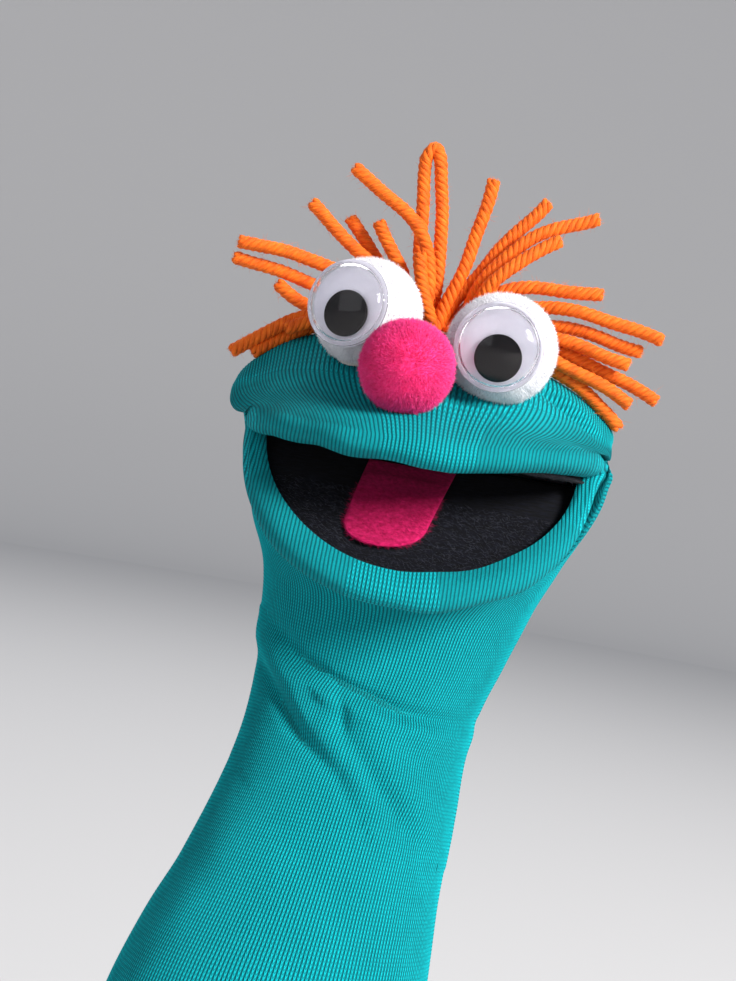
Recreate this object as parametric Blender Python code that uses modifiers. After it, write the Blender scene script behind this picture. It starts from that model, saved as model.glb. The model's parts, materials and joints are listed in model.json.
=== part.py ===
"""Sock puppet: a knitted sock drawn over a folded cardboard mouth, with felt, pompoms, googly eyes and yarn hair.

Metres, +Z up, the puppet looks along -Y. The origin is the centre of the sock's open cuff.
Sizes below are in millimetres and are scaled once, when a mesh is made.
The head's own frame has its origin on the mouth's fold: +X to the puppet's left, +Y back, +Z up.
"""
import math

import bmesh
import bpy
import numpy as np
from mathutils import Matrix, Vector
from mathutils.bvhtree import BVHTree

MM = 0.001
HINGE = (24.0, 34.0, 265.0)      # the mouth's fold in the puppet's frame
WRIST = (-8.6, -8.5, -90.0)      # the wrist's nodding axis, in the head's frame

MOUTH_A = 45.0                   # half width of the cardboard mouth
UP_B, LOW_B = 50.0, 51.0         # depth of the upper and lower card
BETA = math.radians(40.0)        # how far the lower card hangs open at rest
CARD_T = 0.8
FELT_T = 0.8
SKIN_GAP = 0.3
KNIT_T = 1.3                     # the sock's fabric
CUFF_T = 2.6                     # the cuff is turned over, so it is double
CORNER = 35.0                    # degrees of each mouth corner left to soft fabric

NOSE_R = 12.5
EYE_R = 15.0
EYE_DISC_R = 11.6                # googly eye: flange, dome and pupil
DOME_R, DOME_T, DOME_H = 9.9, 0.6, 5.2
PUPIL_R, PUPIL_T, PUPIL_OFF = 6.1, 1.0, 2.85
YARN_R = 1.7

# Sections of the sleeve and neck: centre, side (half width, dy, dz), back (dy, dz), front (dy, dz)
TUBE = [
    ((-24.0, -34.0, -265.0), (41.0, 0, 0), (36.0, 0.0), (-36.0, 0.0)),
    ((-23.8, -34.0, -248.0), (40.6, 0, 0), (35.6, 0.0), (-35.6, 0.0)),
    ((-23.4, -34.0, -228.0), (41.6, 0, 0), (36.4, 0.0), (-36.4, 0.0)),
    ((-21.4, -33.0, -192.0), (43.2, 0, 0), (37.2, -1.0), (-37.2, 1.0)),
    ((-17.0, -27.0, -154.0), (42.0, 0, 0), (35.0, -3.0), (-35.0, 3.0)),
    ((-10.4, -13.0, -118.0), (35.6, 0, 0), (29.5, -5.0), (-29.5, 5.0)),
    ((-6.6, -3.0, -97.0), (33.0, 0, 0), (26.0, -5.0), (-26.0, 5.0)),
    ((-3.8, 5.5, -75.0), (32.0, 0, 0), (24.5, -2.0), (-24.5, 2.0)),
    ((-1.4, 8.5, -58.0), (35.2, 0, 0), (26.0, 1.0), (-26.0, -2.0)),
    ((0.2, 8.0, -40.0), (39.2, 0, 1), (27.5, 4.0), (-27.0, -5.0)),
]
# Sections of the head, from the throat to the back of the lips
HEAD = [
    ((0.0, 8.0, -23.0), (45.5, 0, 2), (30.5, 10.0), (-31.0, -18.5)),
    ((0.0, 5.0, -7.0), (51.0, 2, 2), (32.0, 18.0), (-33.0, -33.5)),
    ((0.0, 1.5, 4.0), (54.0, 2, 2), (24.0, 26.0), (-33.0, -44.0)),
    ((0.0, -1.0, 6.0), (54.6, 2.5, 1), (5.0, 28.5), (-32.4, -45.6)),
    ((0.0, -2.0, 5.5), (53.6, 2.0, 0.5), (-18.0, 18.0), (-32.0, -45.0)),
    ((0.0, -2.0, 4.5), (52.4, 1.0, -1.0), (-36.0, 7.5), (-32.8, -43.8)),
]
CORNER_DIP = [0.0, 1.5, 4.0, 5.0, 4.5, 3.0]
PSI0, PSI1 = 88.0, -105.0        # the lip rolls from its outer side round to the mouth side
LIP_ROWS = 6
K_LIP = len(TUBE) + len(HEAD)
K_MAX = K_LIP + LIP_ROWS - 1


def unit(v):
    return v / np.maximum(np.linalg.norm(v, axis=-1, keepdims=True), 1e-12)


def section(c, side, back, front, phi):
    co, si = np.cos(phi), np.sin(phi)
    up, dn, a = np.maximum(si, 0), np.maximum(-si, 0), np.abs(co)
    return np.stack([
        c[0] + side[0] * co,
        c[1] + side[1] * a + up * back[0] + dn * front[0],
        c[2] + side[2] * a + up * back[1] + dn * front[1],
    ], -1)


def corner(phi, width):
    """1 at the mouth's two corners, fading over that many degrees."""
    return np.exp(-(np.degrees(np.arcsin(np.clip(np.sin(phi), -1, 1))) / width) ** 2)


def lip(psi, phi):
    """A point of the rolled lip: psi 90 is its outer side, 0 its front, -90 the mouth side."""
    co, si = np.cos(phi), np.sin(phi)
    up, s = si >= 0, np.abs(si)
    cb, sb = math.cos(BETA), math.sin(BETA)
    zero = np.zeros_like(s)
    x = MOUTH_A * co + np.where(up, 0.0, -3.0) * s ** 2
    edge = np.where(up[..., None], np.stack([x, -UP_B * s, zero], -1), np.stack([x, -LOW_B * cb * s, -LOW_B * sb * s], -1))
    n = np.where(up[..., None], unit(np.stack([co / MOUTH_A, -s / UP_B, zero], -1)),
                 unit(np.stack([co / MOUTH_A, -s * cb / LOW_B, -s * sb / LOW_B], -1)))
    w = (0.5 + 0.5 * np.tanh(np.degrees(np.arcsin(si)) / 9.0))[..., None]
    m = unit(w * np.array([0.0, 0.0, 1.0]) + (1 - w) * np.array([0.0, sb, -cb]))
    r = np.where(up, 5.2 + 0.4 * s, 5.4 + 2.0 * s ** 1.5)
    ps = np.radians(psi)
    off = n * (r * (1.0 + 0.12 * s) * np.cos(ps))[..., None] + m * (r * np.sin(ps))[..., None]
    return edge + off + m * (0.5 * r * np.clip(-np.sin(ps), 0, 1))[..., None]


def key_rows(phi):
    out = [section(*t, phi) for t in TUBE]
    for h, dip in zip(HEAD, CORNER_DIP):
        p = section(*h, phi)
        p[..., 0] -= np.sign(np.cos(phi)) * dip * corner(phi, 9.0)
        out.append(p)
    start = PSI0 - 62.0 * corner(phi, 16.0)
    return out + [lip(start + (PSI1 - start) * j / (LIP_ROWS - 1), phi) for j in range(LIP_ROWS)]


def sock(phi, k):
    """The sock's outer surface at angle phi and section k: a smooth curve through the sections."""
    r = key_rows(phi)
    i = min(int(min(max(k, 0), K_MAX)), K_MAX - 1)
    t = k - i
    p1, p2 = r[i], r[i + 1]
    p0 = r[i - 1] if i else 2 * p1 - p2
    p3 = r[i + 2] if i + 2 <= K_MAX else 2 * p2 - p1
    d1, d2, d3 = (np.linalg.norm(b - a, axis=-1, keepdims=True) ** 0.5 + 1e-6 for a, b in ((p0, p1), (p1, p2), (p2, p3)))
    m1 = ((p1 - p0) / d1 - (p2 - p0) / (d1 + d2) + (p2 - p1) / d2) * d2
    m2 = ((p2 - p1) / d2 - (p3 - p1) / (d2 + d3) + (p3 - p2) / d3) * d2
    return (2 * t**3 - 3 * t**2 + 1) * p1 + (t**3 - 2 * t**2 + t) * m1 + (-2 * t**3 + 3 * t**2) * p2 + (t**3 - t**2) * m2


# ---------------------------------------------------------------- scene

for old in list(bpy.data.objects):
    bpy.data.objects.remove(old, do_unlink=True)
PARTS = bpy.data.collections.new("sock_puppet")
CUTTERS = bpy.data.collections.new("cutters")
for col in (PARTS, CUTTERS):
    bpy.context.scene.collection.children.link(col)


def material(name, color, rough, alpha=1.0):
    m = bpy.data.materials.get(name)
    if m:
        return m
    m = bpy.data.materials.new(name)
    m.use_nodes = True
    b = m.node_tree.nodes["Principled BSDF"]
    b.inputs["Base Color"].default_value = (*color, 1.0)
    b.inputs["Roughness"].default_value = rough
    b.inputs["Metallic"].default_value = 0.0
    b.inputs["Alpha"].default_value = alpha
    m.diffuse_color = (*color, alpha)
    return m


KNIT = material("knit_teal", (0.006, 0.31, 0.34), 0.85)
FELT = material("felt_black", (0.002, 0.003, 0.010), 0.95)
TONGUE = material("felt_red", (0.31, 0.004, 0.055), 0.9)
PINK = material("pompom_pink", (0.92, 0.03, 0.20), 0.95)
WHITE = material("pompom_white", (0.78, 0.76, 0.80), 0.95)
YARN = material("yarn_orange", (0.78, 0.12, 0.010), 0.9)
CARD = material("card", (0.42, 0.29, 0.17), 0.8)
GLUE = material("glue", (0.75, 0.74, 0.68), 0.4)
EYE_WHITE = material("eye_white", (0.80, 0.80, 0.82), 0.25)
CLEAR = material("eye_clear", (0.9, 0.9, 0.93), 0.05, 0.3)
BLACK = material("pupil_black", (0.012, 0.009, 0.010), 0.3)


def empty(name, at, parent=None):
    e = bpy.data.objects.new(name, None)
    e.empty_display_size = 0.01
    PARTS.objects.link(e)
    e.parent = parent
    base = Vector((0, 0, 0)) if parent is None else parent["at"]
    e.location = (Vector(at) - Vector(base)) * MM
    e["at"] = list(at)
    return e


ROOT = empty("sleeve_frame", (0, 0, 0))
NECK = empty("wrist_axis", tuple(h + w for h, w in zip(HINGE, WRIST)), ROOT)
UPPER = empty("upper_jaw_axis", HINGE, NECK)
LOWER = empty("lower_jaw_axis", HINGE, NECK)
bpy.context.view_layer.update()


def place(obj, parent, mat, origin=HINGE):
    """Link a part whose mesh is in metres about origin, and hang it on its joint's empty."""
    if obj.name not in PARTS.objects:
        for c in list(obj.users_collection):
            c.objects.unlink(obj)
        PARTS.objects.link(obj)
    obj.parent = parent
    obj.location = (Vector(origin) - Vector(parent["at"])) * MM
    obj.data.materials.clear()
    obj.data.materials.append(mat)
    return obj


def new_mesh(name, verts_mm, faces):
    me = bpy.data.meshes.new(name)
    me.from_pydata([tuple(float(c) * MM for c in v) for v in verts_mm], [], faces)
    me.update()
    me.shade_smooth()
    return bpy.data.objects.new(name, me)


def skin(name, k_list, phi_list, parent, thick=KNIT_T, closed=False, ribs=0, mat=KNIT, keep=None):
    """A stretch of the sock as an open loft over its sections, thickened inwards; keep(k, phi) trims its outline."""
    phi = np.radians(np.array(phi_list, float))
    rows = [sock(phi, k) for k in k_list]
    if ribs:
        mid = np.mean(rows[0], axis=0)
        wave = 0.35 * np.cos(phi * ribs)
        for r in rows:
            d = r - np.array([r[:, 0].mean(), r[:, 1].mean(), 0])
            d[:, 2] = 0
            r += unit(d) * (wave[:, None] - 0.35)
    n, m = len(phi), len(rows)
    verts = [p for r in rows for p in r]
    faces = []
    for j in range(m - 1):
        for i in range(n if closed else n - 1):
            if keep and not keep((k_list[j] + k_list[j + 1]) / 2, (phi_list[i] + phi_list[(i + 1) % n]) / 2):
                continue
            a, b = j * n + i, j * n + (i + 1) % n
            faces.append((a, b, b + n, a + n))
    o = new_mesh(name, verts, faces)
    if keep:
        bm = bmesh.new()
        bm.from_mesh(o.data)
        bmesh.ops.delete(bm, geom=[v for v in bm.verts if not v.link_faces], context="VERTS")
        bm.to_mesh(o.data)
        bm.free()
    s = o.modifiers.new("thickness", "SOLIDIFY")
    s.thickness = thick * MM
    s.offset = -1.0
    s.use_even_offset = False
    s.use_rim = True
    return place(o, parent, mat)


def cuff(name, k0, k1, ribs=24, n=96):
    """The turned-over rib: a ribbed tube whose two ends are flat rings."""
    phi = np.radians(np.array(ring(n), float))
    wave = 0.35 * np.cos(phi * ribs) - 0.35
    loops = []
    for k in (k0, (k0 + k1) / 2, k1):
        r = sock(phi, k)
        r[:, 2] = r[:, 2].mean()
        out = r - np.array([r[:, 0].mean(), r[:, 1].mean(), r[0, 2]])
        out = unit(out)
        loops.append((r + out * wave[:, None], r - out * (CUFF_T + 0.35)))
    order = [loops[0][0], loops[1][0], loops[2][0], loops[2][1], loops[1][1], loops[0][1]]
    verts = [p for r in order for p in r]
    faces = []
    for j in range(6):
        for i in range(n):
            a, b = j * n + i, j * n + (i + 1) % n
            c, d = ((j + 1) % 6) * n + (i + 1) % n, ((j + 1) % 6) * n + i
            faces.append((a, b, c, d))
    o = new_mesh(name, verts, faces)
    o.data.set_sharp_from_angle(angle=math.radians(50))
    return place(o, ROOT, KNIT)


def span(a, b, n):
    return [a + (b - a) * i / (n - 1) for i in range(n)]


def ring(n, start=0.0):
    return [start + 360.0 * i / n for i in range(n)]


# ---------------------------------------------------------------- the sock
G = 0.02                          # a gap of about 0.35 mm, counted in sections
cuff("sock_cuff", 0.0, 1.75)
skin("sock_leg", span(1.75 + G, 5.3, 7), ring(36), ROOT, KNIT_T, True)
skin("sock_wrist_band", span(5.3 + G, 7.2, 6), ring(36), NECK, KNIT_T, True)
skin("sock_neck", span(7.2 + G, 8.7, 5), ring(36), NECK, KNIT_T, True)
skin("sock_nape", span(8.7 + G, 12.0, 9), span(0.4, 179.6, 21), NECK, KNIT_T)
skin("sock_throat", span(8.7 + G, 11.6, 9), span(180.4, 359.6, 21), NECK, KNIT_T)
# the crown reaches down to the cheeks behind the lip, and its lip stops short of the mouth's corners
LIP_K = [15.06, 15.5, 16.0, 17.0, 18.0, 19.0, 20.0, 21.0]
IN = CORNER + 1.5
crown_phi = span(0.4, IN, 5)[:-1] + span(IN, 180 - IN, 17) + span(180 - IN, 179.6, 5)[1:]
skin("sock_crown", [12.0 + 3 * G, 12.7, 13.4, 14.1, 14.94] + LIP_K[1:], crown_phi, UPPER, KNIT_T,
     keep=lambda k, f: k < 14.94 or IN < f < 180 - IN)
ROLL_K = [16.55, 17.0, 17.75, 18.5, 19.33, 20.16, 21.0]
skin("sock_chin", ROLL_K, span(180 + IN, 360 - IN, 17), LOWER, KNIT_T)
skin("sock_corner_left", ROLL_K, span(-CORNER + 1.0, CORNER - 1.0, 15), NECK, KNIT_T)
skin("sock_corner_right", ROLL_K, span(180 - CORNER + 1.0, 180 + CORNER - 1.0, 15), NECK, KNIT_T)

# A closed look-up surface of the head, which the pompoms and the yarn rest on
_phi = np.radians(ring(120))
_k = span(9.0, 19.0, 70)
_rows = np.concatenate([sock(_phi, k) for k in _k])
_faces = [(j * 120 + i, j * 120 + (i + 1) % 120, (j + 1) * 120 + (i + 1) % 120, (j + 1) * 120 + i) for j in range(69) for i in range(120)]
HEAD_TREE = BVHTree.FromPolygons([tuple(map(float, p)) for p in _rows], _faces)


def height(p):
    """Signed distance of a point from the sock, and the way out."""
    hit, normal, _, _ = HEAD_TREE.find_nearest(Vector(p))
    return (Vector(p) - hit).dot(normal), normal


# ---------------------------------------------------------------- mouth boards and felt
def half_oval(name, a, b, s0, t, z, parent, mat, skew=0.0, tilt=0.0, steps=26):
    """A flat half oval of sheet, cut off at s0 in front of the fold, lying at height z over its card's middle."""
    lim = math.asin(s0 / b)
    pts = []
    for i in range(steps):
        u = lim + (math.pi - 2 * lim) * i / (steps - 1)
        pts.append((a * math.cos(u) + skew * math.sin(u) ** 2, -b * math.sin(u)))
    return flat(name, pts, t, z, parent, mat, tilt)


def flat(name, pts, t, z, parent, mat, tilt):
    cu = bpy.data.curves.new(name, "CURVE")
    cu.dimensions = "2D"
    cu.fill_mode = "BOTH"
    cu.extrude = t / 2 * MM
    sp = cu.splines.new("POLY")
    sp.points.add(len(pts) - 1)
    for q, (x, y) in zip(sp.points, pts):
        q.co = (x * MM, y * MM, 0, 1)
    sp.use_cyclic_u = True
    tmp = bpy.data.objects.new(name + "_outline", cu)
    CUTTERS.objects.link(tmp)
    bpy.context.view_layer.update()
    me = bpy.data.meshes.new_from_object(tmp.evaluated_get(bpy.context.evaluated_depsgraph_get()))
    bpy.data.objects.remove(tmp, do_unlink=True)
    bm = bmesh.new()
    bm.from_mesh(me)
    bmesh.ops.remove_doubles(bm, verts=bm.verts, dist=0.00001)
    bmesh.ops.translate(bm, vec=(0, 0, z * MM), verts=bm.verts)
    bmesh.ops.recalc_face_normals(bm, faces=bm.faces)
    bm.to_mesh(me)
    bm.free()
    me.name = name
    o = bpy.data.objects.new(name, me)
    o.rotation_euler = (tilt, 0, 0)
    return place(o, parent, mat)


FELT_Z = CARD_T / 2 + SKIN_GAP + FELT_T / 2
half_oval("mouth_board_upper", MOUTH_A, UP_B, 4.4, CARD_T, 0.0, UPPER, CARD)
half_oval("mouth_board_lower", MOUTH_A, LOW_B, 4.4, CARD_T, 0.0, LOWER, CARD, -3.0, BETA)
half_oval("mouth_felt_upper", MOUTH_A - 2.4, UP_B - 2.4, 12.6, FELT_T, -FELT_Z, UPPER, FELT)
half_oval("mouth_felt_lower", MOUTH_A - 2.4, LOW_B - 2.4, 12.6, FELT_T, FELT_Z, LOWER, FELT, -3.0, BETA)

# the bend of the felt, from one card over the fold to the other
s1 = 12.2
z0, z1 = FELT_Z - FELT_T / 2, FELT_Z + FELT_T / 2


def low_pt(s, z):
    return (-s * math.cos(BETA) - z * math.sin(BETA), -s * math.sin(BETA) + z * math.cos(BETA))


reach = (z1 + z1 / math.cos(BETA)) / math.tan(BETA)
inner_bend = (-(z1 + z1 * math.cos(BETA)) / math.sin(BETA), -z1)
outer_bend = (-(z0 + z0 * math.cos(BETA)) / math.sin(BETA), -z0)
prof = [(-s1, -z0), outer_bend, low_pt(s1, z0), low_pt(s1, z1), inner_bend, (-s1, -z1)]
half = MOUTH_A - 7.5
verts = [(x, y, z) for x in (-half, half) for y, z in prof]
faces = [tuple(range(5, -1, -1)), tuple(range(6, 12))] + [(i, (i + 1) % 6, 6 + (i + 1) % 6, 6 + i) for i in range(6)]
fold = new_mesh("mouth_fold", verts, faces)
bm = bmesh.new()
bm.from_mesh(fold.data)
bmesh.ops.recalc_face_normals(bm, faces=bm.faces)
bm.to_mesh(fold.data)
bm.free()
fold.data.shade_flat()
place(fold, NECK, FELT)

# the tongue: a round-ended strip on the lower felt
T_HALF, T_START, T_TIP, T_X, T_LEAN = 10.6, 17.0, 43.5, -2.2, -0.085
pts = []
for i in range(17):
    u = math.pi * i / 16
    s = T_TIP - T_HALF + T_HALF * math.sin(u)
    pts.append((T_X + T_LEAN * s + T_HALF * math.cos(u), -s))
pts += [(T_X + T_LEAN * T_START - T_HALF, -T_START), (T_X + T_LEAN * T_START + T_HALF, -T_START)]
flat("tongue", pts, FELT_T, FELT_Z + FELT_T + SKIN_GAP, LOWER, TONGUE, BETA)


# ---------------------------------------------------------------- pompoms and googly eyes
def pompom(name, c, r, mat, planes=(), gap=0.75, seg=22, rings=14):
    """A ball whose underside is pressed to the shape of the head, and flattened by each plane."""
    bm = bmesh.new()
    bmesh.ops.create_uvsphere(bm, u_segments=seg, v_segments=rings, radius=r)
    for v in bm.verts:
        p = Vector(c) + v.co
        for q, n in planes:
            d = (p - Vector(q)).dot(Vector(n))
            if d > 0:
                p -= Vector(n) * d
        for _ in range(3):
            h, n = height(p)
            if h < gap:
                p += n * (gap - h)
        v.co = p * MM
    me = bpy.data.meshes.new(name)
    bm.to_mesh(me)
    bm.free()
    me.shade_smooth()
    return place(bpy.data.objects.new(name, me), UPPER, mat)


def disc(name, c, n, r, t, parent, mat, origin=HINGE, seg=28):
    bm = bmesh.new()
    bmesh.ops.create_cone(bm, cap_ends=True, cap_tris=False, segments=seg, radius1=r * MM, radius2=r * MM, depth=t * MM)
    rot = Vector((0, 0, 1)).rotation_difference(Vector(n)).to_matrix().to_4x4()
    off = Vector(c) - (Vector(origin) - Vector(HINGE))
    bmesh.ops.transform(bm, matrix=Matrix.Translation(off * MM) @ rot, verts=bm.verts)
    me = bpy.data.meshes.new(name)
    bm.to_mesh(me)
    bm.free()
    me.shade_smooth()
    me.set_sharp_from_angle(angle=math.radians(40))
    return place(bpy.data.objects.new(name, me), parent, mat, origin)


def glue_pad(name, c, toward, r, t=0.8):
    """A flat dab of glue on the sock under a piece, shaped to the head."""
    d = Vector(toward).normalized()
    h, n = height(Vector(c) + d * 1.0)
    hit, n, _, _ = HEAD_TREE.ray_cast(Vector(c), d)
    if hit is None:
        hit, n, _, _ = HEAD_TREE.find_nearest(Vector(c))
    bm = bmesh.new()
    bmesh.ops.create_cone(bm, cap_ends=True, cap_tris=True, segments=14, radius1=r, radius2=r * 0.8, depth=0.34)
    rot = Vector((0, 0, 1)).rotation_difference(n).to_matrix().to_4x4()
    bmesh.ops.transform(bm, matrix=rot, verts=bm.verts)
    for v in bm.verts:
        side = v.co.dot(n)
        p = hit + (v.co - n * side)
        for _ in range(3):
            hh, nn = height(p)
            p += nn * ((0.25 if side < 0 else 0.5) - hh)
        v.co = p * MM
    bmesh.ops.recalc_face_normals(bm, faces=bm.faces)
    me = bpy.data.meshes.new(name)
    bm.to_mesh(me)
    bm.free()
    return place(bpy.data.objects.new(name, me), UPPER, GLUE)


NOSE_C = Vector((-8.8, -41.0, 19.3))
EYES = {
    "right": (Vector((-21.5, -20.0, 33.6)), Vector((-0.42, -0.905, 0.03)).normalized(), 10.2),
    "left": (Vector((15.0, -27.0, 29.5)), Vector((-0.126, -0.988, -0.075)).normalized(), 10.2),
}
pompom("nose_pompom", NOSE_C, NOSE_R, PINK)
glue_pad("glue_nose", NOSE_C, (0.1, 0.35, -1), 5.0)

for side, (c, n, flat_at) in EYES.items():
    pompom("eye_pompom_" + side, c, EYE_R, WHITE, [(c + n * flat_at, n)])
    glue_pad("glue_eye_" + side, c, (0, 0.15, -1), 6.0)
    base = c + n * (flat_at + 0.3)
    disc("glue_googly_" + side, base + n * 0.2, n, 6.5, 0.4, UPPER, GLUE, seg=20)
    back = base + n * 0.7
    disc("eye_backing_" + side, back + n * 0.4, n, EYE_DISC_R, 0.8, UPPER, EYE_WHITE)
    # the clear dome: a turned shell with a flat flange
    floor = back + n * 1.1
    outer_r = DOME_R + DOME_T
    prof = [(outer_r * math.sin(u), 1.0 + (DOME_H - 1.0) * math.cos(u)) for u in np.linspace(0.0, math.pi / 2, 7)]
    prof += [(EYE_DISC_R, 0.9), (EYE_DISC_R, 0.0), (DOME_R, 0.0)]
    prof += [(DOME_R * math.sin(u), 0.6 + (DOME_H - DOME_T - 0.6) * math.cos(u)) for u in np.linspace(math.pi / 2, 0.0, 7)]
    me = bpy.data.meshes.new("eye_dome_" + side)
    rot = Vector((0, 0, 1)).rotation_difference(n)
    me.from_pydata([(x * MM if x > 1e-6 else 0.0, 0, z * MM) for x, z in prof], [(i, i + 1) for i in range(len(prof) - 1)], [])
    o = bpy.data.objects.new("eye_dome_" + side, me)
    sc = o.modifiers.new("turn", "SCREW")
    sc.axis = "Z"
    sc.steps = sc.render_steps = 22
    sc.use_merge_vertices = True
    sc.merge_threshold = 0.00001
    sc.use_normal_calculate = False
    sc.use_smooth_shade = True
    place(o, UPPER, CLEAR)
    o.location = floor * MM
    o.rotation_mode = "QUATERNION"
    o.rotation_quaternion = rot
    # the loose pupil hangs at the bottom of the dome and turns about the dome's axis
    hang = Vector((0, 0, -1)) + Vector((0.12, 0, 0))
    hang = (hang - n * hang.dot(n)).normalized()
    axis_at = tuple(Vector(HINGE) + floor)
    e = empty("pupil_axis_" + side, axis_at, UPPER)
    disc("pupil_" + side, floor + n * (0.35 + PUPIL_T / 2) + hang * PUPIL_OFF, n, PUPIL_R, PUPIL_T, e, BLACK, axis_at, seg=24)

# ---------------------------------------------------------------- yarn hair
KNOT = Vector((-3.0, 5.0, 41.5))
# tip of each strand, and the point its bow passes through
STRANDS = [
    ((-56, 1, 49), (-33, 3, 48)), ((-57, 5, 43), (-36, 6, 44)), ((-45, 6, 38), (-30, 6, 42)),
    ((-57, -1, 19), (-42, 0, 30)), ((-51, 1, 16.5), (-36, 3, 32)), ((-43, -3, 25), (-32, -1, 33)),
    ((-40, 2, 62), (-25, 4, 52)), ((-27, 6, 60), (-20, 7, 51)), ((-19, 0, 62), (-15, 3, 52)),
    ((-30, -2, 76), (-13, 2, 63)),
    ((-9, 4, 83), (-9, 4, 62)), ((-5, 4, 83), (-1, 6, 62)),
    ((11, 2, 76), (4, 3, 60)), ((24, 3, 73), (13, 5, 58)), ((38, 1, 72), (20, 3, 60)), ((28, -1, 62), (14, 1, 52)),
    ((42, 2, 50), (24, 2, 48)), ((61, 1, 43), (36, 0, 43)), ((56, 5, 38.5), (35, 5, 40)), ((53, -2, 34), (35, -2, 37)),
    ((62, 2, 26), (43, 1, 34)), ((54, -3, 22.5), (37, -4, 31)), ((53, -1, 16.5), (33, -6, 29)),
    ((-14, -1, 36), (-10, 1, 38)),
]
STRAND_PTS = 10


def strand_paths():
    """Smooth paths from a packed bundle at the knot to each tip, eased apart until no two touch."""
    n = len(STRANDS)
    pts = np.zeros((n, STRAND_PTS, 3))
    slots = [(0.0, 0.0)] + [(3.9 * math.cos(math.tau * i / 6), 3.9 * math.sin(math.tau * i / 6)) for i in range(6)]
    slots += [(7.6 * math.cos(math.tau * (i + 0.5) / 12), 7.6 * math.sin(math.tau * (i + 0.5) / 12)) for i in range(12)]
    slots += [(11.2 * math.cos(math.tau * i / 18), 11.2 * math.sin(math.tau * i / 18)) for i in range(18)]
    free = list(range(len(slots)))
    order = sorted(range(n), key=lambda i: -abs(STRANDS[i][0][0]))
    for i in reversed(order):
        tip = Vector(STRANDS[i][0]) - KNOT
        want = Vector((tip.x, tip.z)).normalized() * min(11.0, 0.19 * abs(tip.x) + 2.0)
        j = min(free, key=lambda q: (slots[q][0] - want.x) ** 2 + (slots[q][1] - want.y) ** 2)
        free.remove(j)
        root = KNOT + Vector((slots[j][0], 0.0, slots[j][1] * 0.75))
        tip, mid = Vector(STRANDS[i][0]), Vector(STRANDS[i][1])
        ctrl = mid * 2 - (root + tip) / 2
        for q in range(STRAND_PTS):
            u = q / (STRAND_PTS - 1)
            pts[i, q] = root * (1 - u) ** 2 + ctrl * 2 * u * (1 - u) + tip * u * u
    step = np.linalg.norm(np.diff(pts, axis=1), axis=2).mean(axis=1)
    spheres = [(np.array(NOSE_C), NOSE_R)] + [(np.array(c), EYE_R) for c, _, _ in EYES.values()]
    need = 2 * YARN_R + 0.45
    for sweep in range(420):
        for q_i in range(n):
            for q_j in range(q_i + 1, n):
                a, b = pts[q_i], pts[q_j]
                am = np.concatenate([a, (a[1:] + a[:-1]) / 2])
                bmid = np.concatenate([b, (b[1:] + b[:-1]) / 2])
                d = am[:, None] - bmid[None]
                dist = np.linalg.norm(d, axis=2)
                close = dist < need
                if not close.any():
                    continue
                ii, jj = np.nonzero(close)
                push = d[ii, jj] / np.maximum(dist[ii, jj], 1e-6)[:, None] * ((need - dist[ii, jj]) * 0.3)[:, None]
                for k, l, v in zip(ii, jj, push):
                    for arr, idx, s in ((a, k, 1.0), (b, l, -1.0)):
                        if idx < STRAND_PTS:
                            arr[idx] += s * v
                        else:
                            arr[idx - STRAND_PTS] += s * v * 0.7
                            arr[idx - STRAND_PTS + 1] += s * v * 0.7
        flatp = pts.reshape(-1, 3)
        for c, r in spheres:
            d = flatp - c
            dist = np.linalg.norm(d, axis=1)
            m = dist < r + YARN_R + 0.5
            flatp[m] += d[m] / dist[m, None] * (r + YARN_R + 0.5 - dist[m])[:, None] * 0.6
        if sweep % 3 == 0:
            for idx in np.nonzero(flatp[:, 2] < 52)[0]:
                h, nrm = height(flatp[idx])
                if h < YARN_R + 0.6:
                    flatp[idx] += np.array(nrm) * (YARN_R + 0.6 - h) * 0.7
        if sweep < 380:
            pts[:, 1:-1] += 0.12 * (0.5 * (pts[:, :-2] + pts[:, 2:]) - pts[:, 1:-1])
    return pts


PATHS = strand_paths()
for i, path in enumerate(PATHS):
    name = "yarn_%02d" % (i + 1)
    cu = bpy.data.curves.new(name, "CURVE")
    cu.dimensions = "3D"
    cu.bevel_depth = YARN_R * MM
    cu.bevel_resolution = 2
    cu.use_fill_caps = True
    sp = cu.splines.new("POLY")
    sp.points.add(STRAND_PTS - 1)
    for q, p in zip(sp.points, path):
        q.co = (*(p * MM), 1)
    cu.render_resolution_u = 0
    o = bpy.data.objects.new(name, cu)
    place(o, UPPER, YARN)

# a pad of glue under the bundle holds it to the crown
glue_pad("glue_hair", (-3.0, 5.0, 60.0), (0, 0, -1), 6.0)
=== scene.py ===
"""Sock puppet, final looks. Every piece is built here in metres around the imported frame; sizes are written in millimetres in the head's own frame."""
import json
import math

import bmesh
import bpy
import numpy as np
from mathutils import Matrix, Vector, noise
from mathutils.bvhtree import BVHTree

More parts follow.
